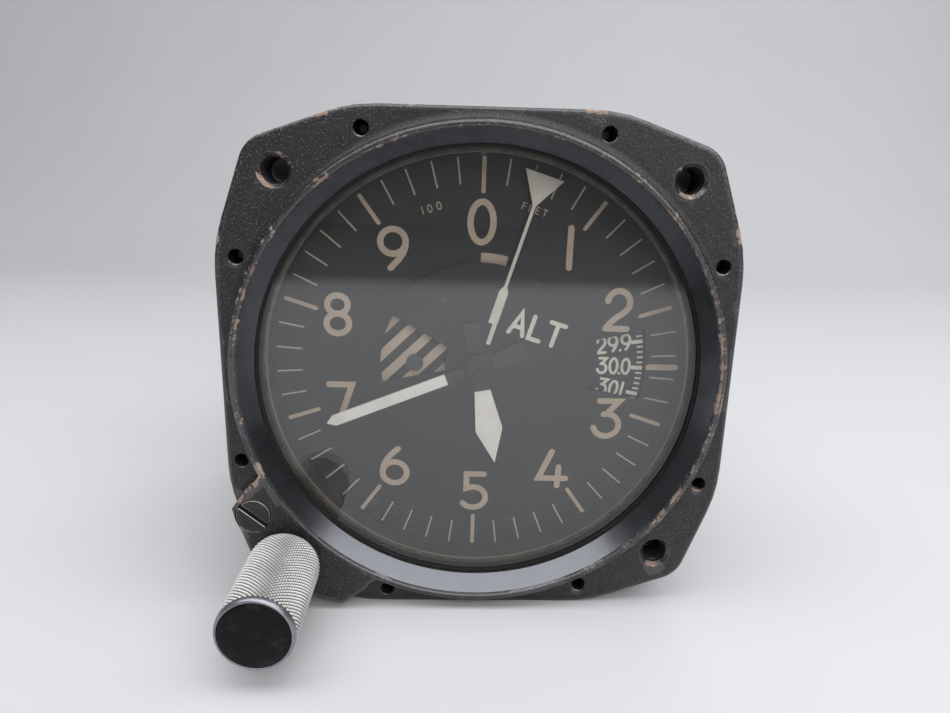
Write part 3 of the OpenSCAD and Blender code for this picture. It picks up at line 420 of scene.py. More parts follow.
# Each plain finish: two tones, roughness, metal share and gloss
PLAIN_FINISHES = {
    "black_metal": ((0.009, 0.009, 0.0095), (0.016, 0.016, 0.017), 0.5, 0.0, 0.3),
    "seal_rubber": ((0.008, 0.008, 0.008), (0.014, 0.0135, 0.013), 0.7, 0.0, 0.3),
    "plate_aluminium": ((0.66, 0.66, 0.65), (0.56, 0.56, 0.56), 0.34, 1.0, 0.5),
    "clock_brass": ((0.66, 0.47, 0.17), (0.56, 0.38, 0.13), 0.28, 1.0, 0.5),
    "screw_steel": ((0.52, 0.52, 0.53), (0.42, 0.42, 0.43), 0.3, 1.0, 0.5),
    "spring_steel": ((0.30, 0.34, 0.46), (0.42, 0.42, 0.48), 0.25, 1.0, 0.5),
    "jewel": ((0.42, 0.02, 0.05), (0.34, 0.015, 0.04), 0.12, 0.0, 0.5),
    "bimetal": ((0.58, 0.46, 0.28), (0.5, 0.42, 0.3), 0.3, 1.0, 0.5),
    "capsule_copper": ((0.62, 0.36, 0.20), (0.54, 0.30, 0.17), 0.3, 1.0, 0.5),
}
FINISH = {name: plain_finish(name, *look) for name, look in PLAIN_FINISHES.items()}
FINISH.update({
    "black_casting": casting_finish("black_casting", 0.25),
    "black_steel": worn_steel_finish(),
    "dial_black": dial_finish(),
    "hand_white": hand_finish("hundred_hand_paint", HUNDRED_AIM, 5.8),
    "cover_glass": glass_finish(),
    "brown_gasket": gasket_finish(),
    "knob_aluminium": knob_finish(),
    "cap_black": cap_finish(),
})
KNOB_RIM = plain_finish("knob_rim", (0.25, 0.24, 0.28), (0.32, 0.31, 0.35), 0.34, 0.9, 0.5)
BEZEL_PAINT = casting_finish("bezel_paint", 0.0)
REVEAL = reveal_finish()
THOUSAND_PAINT = hand_finish("thousand_hand_paint", THOUSAND_AIM, 4.4)
DIAL_TAN = print_finish("dial_print", (0.42, 0.335, 0.26), (0.37, 0.295, 0.23))
SCALE_CREAM = print_finish("scale_print", (0.60, 0.57, 0.50), (0.53, 0.50, 0.44))


# Mesh building


def new_object(name, data):
    """An object of this data, added to the scene."""
    made = bpy.data.objects.new(name, data)
    bpy.context.scene.collection.objects.link(made)
    return made


def piece(name, mesh, body, materials, replaced=()):
    """Makes the object of one mesh, ties it to its body and hides the nodes it stands for."""
    made = new_object(name, mesh)
    for material in materials:
        mesh.materials.append(material)
    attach(made, body)
    if replaced:
        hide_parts(*replaced)


class Shape:
    """Points in millimetres and faces, gathered for one mesh."""

    def __init__(self):
        self.points = []
        self.near = []
        self.faces = []
        self.kinds = []
        self.layers = 0

    def loop(self, points, near=0.0):
        start = len(self.points)
        self.points.extend(points)
        self.near.extend([near] * len(points))
        return list(range(start, len(self.points)))

    def face(self, corners, kind=0):
        corners = [c for i, c in enumerate(corners) if c != corners[i - 1]]
        if len(corners) > 2:
            self.faces.append(corners)
            self.kinds.append(kind)

    def bridge(self, first, second, closed=True, kind=0):
        count = len(first)
        for i in range(count if closed else count - 1):
            j = (i + 1) % count
            self.face([first[i], first[j], second[j], second[i]], kind)

    def lathe(self, centre, profile, segments, kinds=None, near=None):
        """Turns a profile of (radius, y) about the axis through centre."""
        loops = []
        for k, (radius, y) in enumerate(profile):
            if radius < 1e-6:
                loops.append(self.loop([(centre[0], y, centre[1])]) * segments)
                continue
            turn = [math.tau * i / segments for i in range(segments)]
            points = [(centre[0] + radius * math.cos(a), y, centre[1] + radius * math.sin(a)) for a in turn]
            loops.append(self.loop(points, near[k] if near else 0.0))
        for k in range(len(loops) - 1):
            self.bridge(loops[k], loops[k + 1], True, kinds[k] if kinds else 0)
        return loops

    def sheet(self, y, loops, gap=None):
        """Fills the area between closed loops of point numbers at one depth."""
        flat, edges = [], []
        for loop in loops:
            start = len(flat)
            flat.extend(Vector((self.points[i][0], self.points[i][2])) for i in loop)
            edges.extend((start + i, start + (i + 1) % len(loop)) for i in range(len(loop)))
        numbers = [i for loop in loops for i in loop]
        outlines = [[Vector((self.points[i][0], self.points[i][2])) for i in loop] for loop in loops]
        if gap:
            left, right = min(p.x for p in flat), max(p.x for p in flat)
            low, high = min(p.y for p in flat), max(p.y for p in flat)
            border = list(flat)
            for j in range(int((high - low) / gap)):
                for i in range(int((right - left) / gap)):
                    spot = Vector((left + (i + 0.5 + 0.25 * (j % 2)) * gap, low + (j + 0.5) * gap))
                    if covered(spot, outlines) and min((spot - p).length for p in border) > gap * 0.6:
                        flat.append(spot)
                        numbers.extend(self.loop([(spot.x, y, spot.y)]))
        made = geometry.delaunay_2d_cdt(flat, edges, [], 0, 1e-6)
        spots, triangles, sources = made[0], made[2], made[3]
        places = [numbers[s[0]] if s else self.loop([(p.x, y, p.y)])[0] for p, s in zip(spots, sources)]
        for triangle in triangles:
            a, b, c = (spots[i] for i in triangle)
            if abs((b - a).cross(c - a)) > 1e-3 and covered((a + b + c) / 3, outlines):
                self.face([places[i] for i in triangle])

    def mesh(self, name, angle=32.0):
        made = bpy.data.meshes.new(name)
        made.from_pydata([Vector(p) * MM for p in self.points], [], self.faces)
        made.polygons.foreach_set("material_index", self.kinds)
        store = made.attributes.new("rub", "FLOAT", "POINT")
        store.data.foreach_set("value", self.near)
        work = bmesh.new()
        work.from_mesh(made)
        bmesh.ops.remove_doubles(work, verts=work.verts, dist=1e-7)
        bmesh.ops.recalc_face_normals(work, faces=work.faces)
        work.to_mesh(made)
        work.free()
        made.shade_smooth()
        made.set_sharp_from_angle(angle=math.radians(angle))
        return made


def covered(spot, outlines):
    """Whether a spot is inside an odd number of outlines."""
    inside = False
    for outline in outlines:
        for i, a in enumerate(outline):
            b = outline[i - 1]
            if (a.y > spot.y) != (b.y > spot.y):
                crossing = (b.x - a.x) * (spot.y - a.y) / (b.y - a.y) + a.x
                inside = inside != (spot.x < crossing)
    return inside


def rounded_path(corners, spacing=0.8, arc_step=5.0):
    """A closed outline through corners of (x, z, radius), with arcs at the corners."""
    path = []
    count = len(corners)
    for k in range(count):
        before = Vector(corners[k - 1][:2])
        here = Vector(corners[k][:2])
        after = Vector(corners[(k + 1) % count][:2])
        radius = corners[k][2]
        come = (before - here).normalized()
        leave = (after - here).normalized()
        turn = math.pi - come.angle(leave)
        reach = radius * math.tan(turn / 2)
        first = here + come * reach
        middle = here + (come + leave).normalized() * (radius / math.cos(turn / 2))
        spoke = first - middle
        way = 1 if come.x * leave.y - come.y * leave.x < 0 else -1
        steps = max(3, int(math.degrees(turn) / arc_step))
        for i in range(steps + 1):
            angle = way * turn * i / steps
            c, s = math.cos(angle), math.sin(angle)
            path.append(middle + Vector((spoke.x * c - spoke.y * s, spoke.x * s + spoke.y * c)))
    return spread(path, spacing)


def spread(path, spacing):
    """Adds points so that no stretch of a closed outline is longer than the spacing."""
    full = []
    for i, a in enumerate(path):
        b = path[(i + 1) % len(path)]
        parts = max(1, math.ceil((b - a).length / spacing))
        full.extend(a + (b - a) * (j / parts) for j in range(parts))
    return full


def inset(path, amounts):
    """Moves a counter-clockwise outline's points inwards. Any that would cross take a neighbour's place."""
    moved = []
    for i, here in enumerate(path):
        a = (here - path[i - 1]).normalized()
        b = (path[(i + 1) % len(path)] - here).normalized()
        mid = (a + b).normalized()
        spot = here + Vector((-mid.y, mid.x)) * (amounts[i] / max(0.6, mid.dot(b)))
        clear = all((spot - p).length >= 0.93 * min(amounts[i], amounts[k]) for k, p in enumerate(path))
        moved.append(spot if clear else None)
    count = len(path)
    for i in range(count):
        if moved[i] is None:
            steps = range(1, count)
            moved[i] = next((moved[(i + s * d) % count] for s in steps for d in (1, -1)
                             if moved[(i + s * d) % count] is not None), path[i])
    return moved


def block(shape, outline, front, back, edges, lands, holes=(), gap=None):
    """A plate with a rounded edge at its front and chamfered holes, from an outline seen from the front.

    Each hole is (centre, radius, chamfer, margin), and each point carries how near it is to an edge.
    """
    way = 1 if back > front else -1
    rim = inset(outline, edges)
    inner = inset(outline, [e + land for e, land in zip(edges, lands)])
    loops = [shape.loop([(p.x, back, p.y) for p in outline])]
    for angle in quarter_turn(6):
        share = 1 - math.cos(angle)
        rise = 1 - math.sin(angle)
        spots = [(p + (q - p) * share, front + way * e * rise) for p, q, e in zip(outline, rim, edges)]
        loops.append(shape.loop([(p.x, y, p.y) for p, y in spots], 0.8 + 0.2 * math.sin(2 * angle)))
    loops.append(shape.loop([(p.x, front, p.y) for p in inner], 0.5))
    for first, second in zip(loops, loops[1:]):
        shape.bridge(first, second)
    front_loops, back_loops = [loops[-1]], [loops[0]]
    for centre, radius, chamfer, margin in holes:
        profile = [(radius + chamfer + margin, front), (radius + chamfer, front)]
        profile += [(radius, front + way * chamfer), (radius, back)]
        rings = shape.lathe(centre, profile, 48, near=[0.3, 1.0, 0.8, 0.0])
        front_loops.append(rings[0])
        back_loops.append(rings[-1])
    shape.sheet(front, front_loops, gap)
    shape.sheet(back, back_loops)


# The casting: flange, pilot ring, reveal and knob boss


def flange_outline(out=0.0):
    """The square flange with its slanted, rounded corners, larger by so much all round."""
    corner, half = FLANGE_CORNER + out, FLANGE_HALF + out
    quarter = [(half, FLANGE_FLAT, FLANGE_SHOULDER_R), (corner, corner, FLANGE_CORNER_R),
               (FLANGE_FLAT, half, FLANGE_SHOULDER_R)]
    corners = []
    for k in range(4):
        c, s = round(math.cos(k * math.pi / 2)), round(math.sin(k * math.pi / 2))
        corners.extend((x * c - z * s, x * s + z * c, r) for x, z, r in quarter)
    return rounded_path(corners)


BOSS_INNER_R = 38.75


def boss_outline():
    """The raised corner round the knob: two slanted edges, the flange's own corner and the ring."""
    flange = flange_outline(0.02)
    inner, outer = Vector((-33.0, -12.4)), Vector((-43.0, -26.5))
    way = (outer - inner).normalized()
    across = Vector((way.y, -way.x)) if way.x > 0 else Vector((-way.y, way.x))
    relief, relief_r = Vector(BOSS_SCREWS[0]), 3.7
    side = []
    for i in range(90):
        spot = inner + way * (i * 0.2)
        off = spot - relief
        if off.length < relief_r:
            foot = off.dot(way)
            spot = relief + way * foot + across * math.sqrt(relief_r ** 2 - foot ** 2)
        if spot.length > BOSS_INNER_R and covered(spot, [flange]):
            side.append(spot)
    mirrored = [Vector((p.y, p.x)) for p in reversed(side)]
    low, far = side[-1].y - 0.1, mirrored[0].x - 0.1
    corner = [p for p in flange if p.x < far and p.y < low]
    first = math.atan2(mirrored[-1].y, mirrored[-1].x)
    last = math.atan2(side[0].y, side[0].x)
    arc = [Vector(polar(BOSS_INNER_R, math.degrees(first + (last - first) * i / 60))) for i in range(1, 60)]
    path = side + corner + mirrored + arc
    full_edge, full_land, least_edge, least_land = 0.42, 0.6, 0.03, 0.02
    edges, lands = [], []
    for i, spot in enumerate(path):
        room = (spot - Vector(LOCK)).length - LOCK_BORE - 0.12
        hidden = i >= len(path) - len(arc)
        edge = 0.0 if hidden else max(least_edge, min(full_edge, room, spot.length - LIP_R))
        edges.append(edge)
        lands.append(0.0 if hidden else max(least_land, min(full_land, room - edge)))
    return path, edges, lands


# Where the paint is rubbed, and where extra rub lays a painted highlight: (x, z, reach, amount), and on the
# lip (first, last, amount) in clock degrees
RUB_AND_HIGHLIGHT_SPOTS = [
    (-35.4, -15.7, 1.8, 0.55), (-36.9, -18.2, 2.0, 0.5), (-38.4, -20.4, 1.7, 0.55),
    (-39.5, -22.2, 1.6, 0.45), (-40.0, -24.6, 1.5, 0.3), (-39.4, -26.7, 1.9, 0.7),
    (-24.6, -40.4, 1.6, 0.6), (-16.0, -35.4, 1.6, 0.4), (16.1, 41.0, 2.0, 0.5), (39.1, 23.0, 1.6, 0.6),
    (-24.4, 39.4, 1.6, 0.35), (41.2, 12.0, 1.5, 0.35), (31.3, -33.8, 2.3, 0.75), (-32.9, 29.6, 1.9, 0.55),
    (30.7, 29.2, 1.9, 0.65), (-40.9, 21.0, 1.2, 0.4)]
# Painted highlight: these spots under the case screw holes lighten each hole's lower rim, where the lamp
# above would catch its chamfer.
RUB_AND_HIGHLIGHT_SPOTS += [(x - 0.4, z - 1.15, 1.1, 0.5) for x, z in CASE_SCREWS]
LIP_RUB_AND_HIGHLIGHT = [
    # The first two arcs, over the top of the lip, are a painted highlight along the crest; the others are
    # chips.
    (0, 75, 0.08), (288, 360, 0.08), (0, 12, 0.2), (13, 18, 0.35), (24, 28, 0.25), (33, 38, 0.4),
    (44.5, 52, 0.42), (56, 64, 0.3), (66, 77, 0.25), (77, 98, 0.48), (100, 108, 0.33), (110.5, 114.5, 0.42),
    (117, 123, 0.42), (124.5, 134.5, 0.38), (136, 140, 0.25), (145.5, 151.5, 0.33), (156, 171, 0.18),
    (236, 250, 0.2), (255, 275, 0.2), (275.5, 285, 0.4), (286, 291.5, 0.42), (294, 297.5, 0.3),
    (301, 307, 0.28), (319, 324, 0.3), (332, 343, 0.25), (350, 360, 0.2)]


def rub_and_highlight(x, z, nearness):
    """How much the paint is rubbed at a point that is so near an edge; on the upper edges and the top of the
    lip part of it is a painted highlight.
    """
    radius = math.hypot(x, z)
    # Partly painted highlight: the upper outer edges get more rub, so their thinned paint reads lighter
    # where the lamp above falls, besides real wear.
    on_upper_rim = z > 15 and nearness > 0.75 and radius > LIP_R + 3
    amount = 0.36 if on_upper_rim else 0.16
    for spot_x, spot_z, reach, weight in RUB_AND_HIGHLIGHT_SPOTS:
        away = math.hypot(x - spot_x, z - spot_z) / reach
        amount += weight * max(0.0, 1 - away * away)
    on_lip = abs(radius - LIP_R) < 1.3
    if on_lip:
        angle = math.degrees(math.atan2(x, z)) % 360
        for first, last, weight in LIP_RUB_AND_HIGHLIGHT:
            amount += weight * max(0.0, min(1.0, angle - first, last - angle))
    return nearness * amount


def lip_profile():
    """The pilot ring from the flange over its crest, down the cone to the glass seat and back again.

    Each point is (radius, y, nearness to an edge). The cone's first and last points are given too.
    """
    fillet, crest, flat_end, cone_edge, cone_slope = 1.3, 0.5, LIP_R - 0.8, 0.22, 31
    points = [(LIP_R + fillet * (1 - math.sin(a)), -fillet * (1 - math.cos(a)), 0.0)
              for a in quarter_turn(6)]
    for angle in quarter_turn(6):
        points.append((LIP_R - crest * (1 - math.cos(angle)), LIP_Y + crest * (1 - math.sin(angle)), 0.72))
    points += [(LIP_R - 0.55, LIP_Y, 0.45), (flat_end, LIP_Y, 0.95)]
    for i in range(1, 5):
        angle = math.radians(cone_slope + (90 - cone_slope) * (1 - i / 4))
        y = LIP_Y + cone_edge * (1 - math.sin(angle))
        points.append((flat_end - cone_edge * math.cos(angle), y, 0.95))
    cone_start = len(points)
    top = points[-1]
    for i in range(1, 9):
        share = i / 8
        radius = top[0] + (OPENING_R - top[0]) * share
        points.append((radius, top[1] + (OPENING_Y - top[1]) * share, 0.3 if i == 1 else 0.0))
    cone_end = len(points)
    seat_y, skirt_in, skirt_out, skirt_end, back_r = 1.2, 37.2, 38.3, 12.9, 38.9
    seat = [(OPENING_R, seat_y), (skirt_in, seat_y), (skirt_in, skirt_end), (skirt_out, skirt_end),
            (skirt_out, FLANGE_BACK), (back_r, FLANGE_BACK)]
    points += [(r, y, 0.0) for r, y in seat]
    return points, cone_start, cone_end


def make_bezel():
    """The painted casting, with a finer mesh at its worn edges."""
    shape = Shape()
    outline = flange_outline()
    count = len(outline)
    holes = [(spot, HOLE_R, 0.55, 0.25) for spot in PANEL_HOLES]
    holes += [(spot, SCREW_HOLE_R, 0.14, 0.08) for spot in CASE_SCREWS]
    holes += [(spot, SCREW_HOLE_R, 0.09, 0.09) for spot in BOSS_SCREWS]
    holes.append(((0, 0), FLANGE_BORE_R, 0.0, 0.0))
    flange_edges = [0.45] * count
    block(shape, outline, 0.0, FLANGE_BACK, flange_edges, flange_edges, holes, 1.3)
    path, edges, lands = boss_outline()
    boss_holes = [(LOCK, LOCK_BORE, 0.08, 0.03), (KNOB, KNOB_BORE_R, 0.1, 0.2)]
    block(shape, path, LIP_Y - 0.015, 0.3, edges, lands, boss_holes, 0.9)
    lip, cone_start, cone_end = lip_profile()
    kinds = [1 if cone_start <= k < cone_end - 1 else 0 for k in range(len(lip) - 1)]
    shape.lathe((0, 0), [p[:2] for p in lip], 420, kinds, [p[2] for p in lip])
    marked = zip(shape.points, shape.near)
    shape.near = [rub_and_highlight(x, z, near) if near > 0 else 0.0 for (x, _, z), near in marked]
    mesh = shape.mesh("bezel_casting")
    piece("bezel_casting", mesh, "body", [BEZEL_PAINT, REVEAL], ["bezel_frame"])


def thread(shape, centre, radius, depth, pitch, start, end, sides):
    """An inner screw thread that deepens from its start. Gives its first and last rings of points."""
    rows_per_turn, run_in = 8, 6
    rows = []
    count = int(abs(end - start) / pitch * rows_per_turn)
    for j in range(count + 1):
        y = start + (end - start) * j / count
        row = []
        for i in range(sides):
            wave = abs(((y / pitch - i / sides) % 1.0) * 2 - 1)
            x, z = polar(radius - depth * wave * min(1.0, j / run_in), 360 * i / sides)
            row.append((centre[0] + x, y, centre[1] + z))
        rows.append(shape.loop(row))
    for first, second in zip(rows, rows[1:]):
        shape.bridge(first, second)
    return rows[0], rows[-1]


def make_hole_threads():
    """Blind threaded inserts in the three panel screw holes."""
    shape = Shape()
    start, end, bottom, inner, outer, sides = 0.58, 5.9, 6.42, HOLE_R - 0.005, 2.45, 40
    first, last = thread(shape, (0, 0), HOLE_R - 0.01, 0.3, 0.79, start, end, sides)
    profile = [(0.0, bottom), (outer - 0.15, bottom), (outer, bottom - 0.15)]
    profile += [(outer, FLANGE_BACK + 0.1), (inner, FLANGE_BACK + 0.05), (inner, start)]
    cup = shape.lathe((0, 0), profile, sides)
    tip = shape.lathe((0, 0), [(1.6, end), (0.0, bottom - 0.12)], sides)
    shape.bridge(last, tip[0])
    shape.bridge(first, cup[-1])
    insert = shape.mesh("hole_thread", 60)
    mesh = set_at("panel_hole_threads", insert, PANEL_HOLES, 0.0, FINISH["black_steel"])
    piece("panel_hole_threads", mesh, "body", [])


def slotted_head(shape, centre, radius, top, floor, half_slot, turn):
    """The two halves of a slotted screw head, with rounded edges, from its top to the slot's floor."""
    edge, land = 0.12, 0.1
    start = math.asin(half_slot / radius)
    for side in (turn, turn + 180):
        path = []
        for i in range(33):
            angle = math.degrees(start + (math.pi - 2 * start) * i / 32)
            path.append(Vector(centre) + Vector(polar(radius, angle + side)))
        path = spread(path, 0.3)
        block(shape, path, top, floor, [edge] * len(path), [land] * len(path))


def make_lock_screw():
    """The slotted lock screw, flush in its counterbore."""
    shape = Shape()
    radius, floor, under, shank, end = 2.75, LIP_Y + 0.75, LIP_Y + 1.4, 1.35, 3.5
    slotted_head(shape, LOCK, radius, LIP_Y, floor, 0.36, -39.0)
    rim = radius - 0.02
    sunk = floor - 0.05
    profile = [(0, sunk), (rim, sunk), (rim, under), (shank, under), (shank, end), (0, end)]
    shape.lathe(LOCK, profile, 64)
    mesh = shape.mesh("lock_screw_slotted")
    piece("lock_screw_slotted", mesh, "body", [FINISH["black_steel"]], ["lock_screw"])


# The case behind the flange

CASE_R = 39.8
CASE_FRONT = 4.0
CASE_FLANGE_BACK = 6.5
CASE_REAR = 80.5
PORT = (0.0, 18.0)
PORT_R = 4.35
PORT_BOSS_R = 8.35
PORT_BOSS_END = 85.5
GEAR_LOBES = [(KNOB, 5.34), ((-23.42, -27.34), 8.34)]
GEAR_LOBE_END = 13.9


def rounded_end(radius, y, edge):
    """Profile points of a rounded rear edge that ends at the depth y."""
    return [(radius - edge + edge * math.cos(a), y - edge + edge * math.sin(a)) for a in quarter_turn(6)]


def hollow(radius, y, fillet):
    """Profile points of a hollow fillet from a flat at the depth y up to a wall of this radius."""
    return [(radius + fillet * (1 - math.sin(a)), y + fillet * (1 - math.cos(a))) for a in quarter_turn(6)]


def gear_lobe(shape, centre, radius):
    """A lobe of the case round a setting gear, with a rounded rear edge, cut off just inside the barrel."""
    edge, inner = 0.8, CASE_R - 0.3
    away = math.degrees(math.atan2(centre[1], centre[0]))
    circle = [Vector(centre) + Vector(polar(radius, away + a)) for a in range(-178, 180, 4)]
    outside = [p for p in circle if p.length > inner]
    first, last = (math.degrees(math.atan2(p.y, p.x)) for p in (outside[-1], outside[0]))
    hidden = [Vector(polar(inner, first + (last - first) * i / 12)) for i in range(1, 12)]
    edges = [edge] * len(outside) + [0.0] * len(hidden)
    lands = [0.3] * len(outside) + [0.0] * len(hidden)
    block(shape, outside + hidden, GEAR_LOBE_END, CASE_FLANGE_BACK - 0.1, edges, lands)


def make_case():
    """The painted case: flange, drawn barrel, gear lobes by the knob, grooved rear wall and port boss."""
    shape = Shape()
    outline = flange_outline()
    count = len(outline)
    clearance_r = 2.6
    holes = [(spot, clearance_r, 0.2, 0.2) for spot in PANEL_HOLES] + [((0, 0), FLANGE_BORE_R, 0.0, 0.0)]
    block(shape, outline, CASE_FLANGE_BACK, CASE_FRONT, [0.4] * count, [0.5] * count, holes)
    barrel = hollow(CASE_R, CASE_FLANGE_BACK - 0.02, 0.5) + rounded_end(CASE_R, CASE_REAR, 2.4)
    sunk = CASE_REAR - 0.4
    groove = [(36.6, CASE_REAR), (36.4, sunk), (35.2, sunk), (35.0, CASE_REAR), (34.6, CASE_REAR)]
    rear = shape.lathe((0, 0), barrel + groove, 240)
    boss = hollow(PORT_BOSS_R, CASE_REAR, 1.0) + rounded_end(PORT_BOSS_R, PORT_BOSS_END, 0.5)
    bore, bore_end = 5.95, 79.0
    foot = shape.lathe(PORT, boss + [(bore, PORT_BOSS_END), (bore, bore_end)], 96)
    shape.sheet(CASE_REAR, [rear[-1], foot[0]])
    for centre, radius in GEAR_LOBES:
        gear_lobe(shape, centre, radius)
    shape.near = [0.1 * near for near in shape.near]
    mesh = shape.mesh("case_barrel")
    piece("case_barrel", mesh, "body", [BEZEL_PAINT], ["case_shell"])


def make_case_screws():
    """Eight slotted screws that hold the case to the flange."""
    shape = Shape()
    radius, shank, seat, tip = 1.725, 1.1, CASE_FLANGE_BACK, 3.2
    top, floor, rim = seat + 1.1, seat + 0.55, radius - 0.02
    slotted_head(shape, (0, 0), radius, top, floor, 0.22, 37.0)
    profile = [(0, floor + 0.03), (rim, floor + 0.03), (rim, seat), (shank, seat)]
    profile += [(shank, tip + 0.5), (0.6, tip), (0, tip)]
    shape.lathe((0, 0), profile, 32)
    screw = shape.mesh("case_screw")
    mesh = set_at("case_screws_slotted", screw, CASE_SCREWS + BOSS_SCREWS, 71.0, FINISH["black_steel"])
    piece("case_screws_slotted", mesh, "body", [], ["case_screws"])


def make_port():
    """The threaded brass insert of the static line."""
    shape = Shape()
    collar, end, mouth, start = 7.13, 86.7, 4.7, 78.0
    outer, depth, pitch, chamfer = 5.93, 0.4, 0.94, 0.35
    profile = [(PORT_R, end - chamfer), (mouth, end), (collar - 0.3, end), (collar, end - 0.3)]
    profile += [(collar, PORT_BOSS_END), (outer, PORT_BOSS_END), (outer, start), (PORT_R - depth, start)]
    body = shape.lathe(PORT, profile, 60)
    first, last = thread(shape, PORT, PORT_R, depth, pitch, end - chamfer, start, 60)
    shape.bridge(first, body[0])
    shape.bridge(last, body[-1])
    mesh = shape.mesh("port_insert_threaded", 40)
    brass = FINISH["clock_brass"]
    piece("port_insert_threaded", mesh, "body", [brass], ["static_port_insert"])


# Node trees for the parts that repeat


def geometry_tree(name, inputs):
    """An empty node tree with its inputs. Gives the tree, its inputs' identifiers, wires, inputs and end."""
    tree = bpy.data.node_groups.new(name, "GeometryNodeTree")
    marks = {}
    for label, kind in inputs:
        socket = tree.interface.new_socket(label, in_out="INPUT", socket_type="NodeSocket" + kind)
        marks[label] = socket.identifier
    tree.interface.new_socket("Geometry", in_out="OUTPUT", socket_type="NodeSocketGeometry")
    wires = Wires(tree)
    start = wires.node("NodeGroupInput")
    end = wires.node("NodeGroupOutput")
    return tree, marks, wires, start.outputs, end.inputs["Geometry"]


def close_tree(w, instances, given, out):
    """Makes the instances real and gives them their material, as the end of a tree."""
    solid = w.node("GeometryNodeRealizeInstances", {"Geometry": instances})
    painted = w.node("GeometryNodeSetMaterial", {
        "Geometry": solid.outputs[0], "Material": given["Material"]})
    w.put(out, painted.outputs[0])


def grown_mesh(name, tree, marks, values, spots=()):
    """Runs a node tree with its named inputs on points at the spots, and keeps a plain mesh."""
    seed = new_object(name + "_seed", bpy.data.meshes.new(name + "_seed"))
    seed.data.from_pydata([(x * MM, 0.0, z * MM) for x, z in spots], [], [])
    modifier = seed.modifiers.new("grow", "NODES")
    modifier.node_group = tree
    for label, value in values.items():
        modifier[marks[label]] = value
    bpy.context.view_layer.update()
    made = bpy.data.meshes.new_from_object(seed.evaluated_get(bpy.context.evaluated_depsgraph_get()))
    made.name = name
    seed.modifiers.clear()
    bpy.data.objects.remove(seed)
    return made


def make_fastener_tree():
    """One fastener at each point, each turned further about its axis than the one before."""
    tree, marks, w, given, out = geometry_tree("Fasteners at points", [
        ("Points", "Geometry"), ("Fastener", "Object"), ("Turn step", "Float"), ("Material", "Material")])
    number = w.node("GeometryNodeInputIndex").outputs[0]
    turn = w.math("RADIANS", w.math("MULTIPLY", number, given["Turn step"]))
    spin = w.combine(Y=turn)
    model = w.node("GeometryNodeObjectInfo", {"Object": given["Fastener"]})
    copies = w.node("GeometryNodeInstanceOnPoints", {
        "Points": given["Points"], "Instance": model.outputs["Geometry"], "Rotation": spin})
    close_tree(w, copies.outputs[0], given, out)
    return tree, marks


FASTENER_TREE = make_fastener_tree()


def set_at(name, fastener, spots, turn_step, finish):
    """Copies the mesh of a fastener on the front-to-back axis to each spot."""
    model = new_object(name + "_model", fastener)
    tree, marks = FASTENER_TREE
    values = {"Fastener": model, "Turn step": turn_step, "Material": finish}
    made = grown_mesh(name, tree, marks, values, spots)
    bpy.data.objects.remove(model)
    return made


def make_tick_tree():
    """Flat tick marks round an axis, with round inner ends. Every so many is a long one."""
    tree, marks, w, given, out = geometry_tree("Tick ring", [
        ("Count", "Int"), ("Step", "Float"), ("Start", "Float"), ("Long every", "Int"),
        ("Outer radius", "Float"), ("Short length", "Float"), ("Long length", "Float"),
        ("Short width", "Float"), ("Long width", "Float"), ("Depth", "Float"), ("Thickness", "Float"),
        ("Material", "Material")])
    points = w.node("GeometryNodePoints", {"Count": given["Count"]}).outputs[0]
    number = w.node("GeometryNodeInputIndex").outputs[0]
    angle = w.math("RADIANS", w.math("MULTIPLY_ADD", number, given["Step"], given["Start"]))
    is_long = w.math("LESS_THAN", w.math("MODULO", w.math("ADD", number, 0.001), given["Long every"]), 0.5)

    def long_or_short(label):
        extra = w.math("SUBTRACT", given["Long " + label], given["Short " + label])
        return w.math("MULTIPLY_ADD", is_long, extra, given["Short " + label])

    def points_at(radius):
        spot = w.combine(X=w.math("MULTIPLY", radius, w.math("SINE", angle)), Y=given["Depth"],
                         Z=w.math("MULTIPLY", radius, w.math("COSINE", angle)))
        return w.node("GeometryNodeSetPosition", {"Geometry": points, "Position": spot}).outputs[0]

    length, width = long_or_short("length"), long_or_short("width")
    inner = w.math("SUBTRACT", given["Outer radius"], length)
    middle = w.math("MULTIPLY_ADD", length, 0.5, inner)
    bar = w.node("GeometryNodeMeshCube", {"Size": (1.0, 1.0, 1.0)})
    spin = w.combine(Y=angle)
    bar_size = w.combine(X=width, Y=given["Thickness"], Z=length)
    bars = w.node("GeometryNodeInstanceOnPoints", {
        "Points": points_at(middle), "Instance": bar.outputs[0], "Rotation": spin, "Scale": bar_size})
    disc = w.node("GeometryNodeMeshCylinder", {"Vertices": 16, "Radius": 0.5, "Depth": 1.0})
    lying = w.node("GeometryNodeTransform", {
        "Geometry": disc.outputs["Mesh"], "Rotation": (math.pi / 2, 0.0, 0.0)})
    end_size = w.combine(X=width, Y=w.math("MULTIPLY", given["Thickness"], 0.8), Z=width)
    ends = w.node("GeometryNodeInstanceOnPoints", {
        "Points": points_at(inner), "Instance": lying.outputs[0], "Rotation": spin, "Scale": end_size})
    both = w.node("GeometryNodeJoinGeometry")
    w.put(both.inputs[0], bars.outputs[0])
    w.put(both.inputs[0], ends.outputs[0])
    close_tree(w, both.outputs[0], given, out)
    return tree, marks


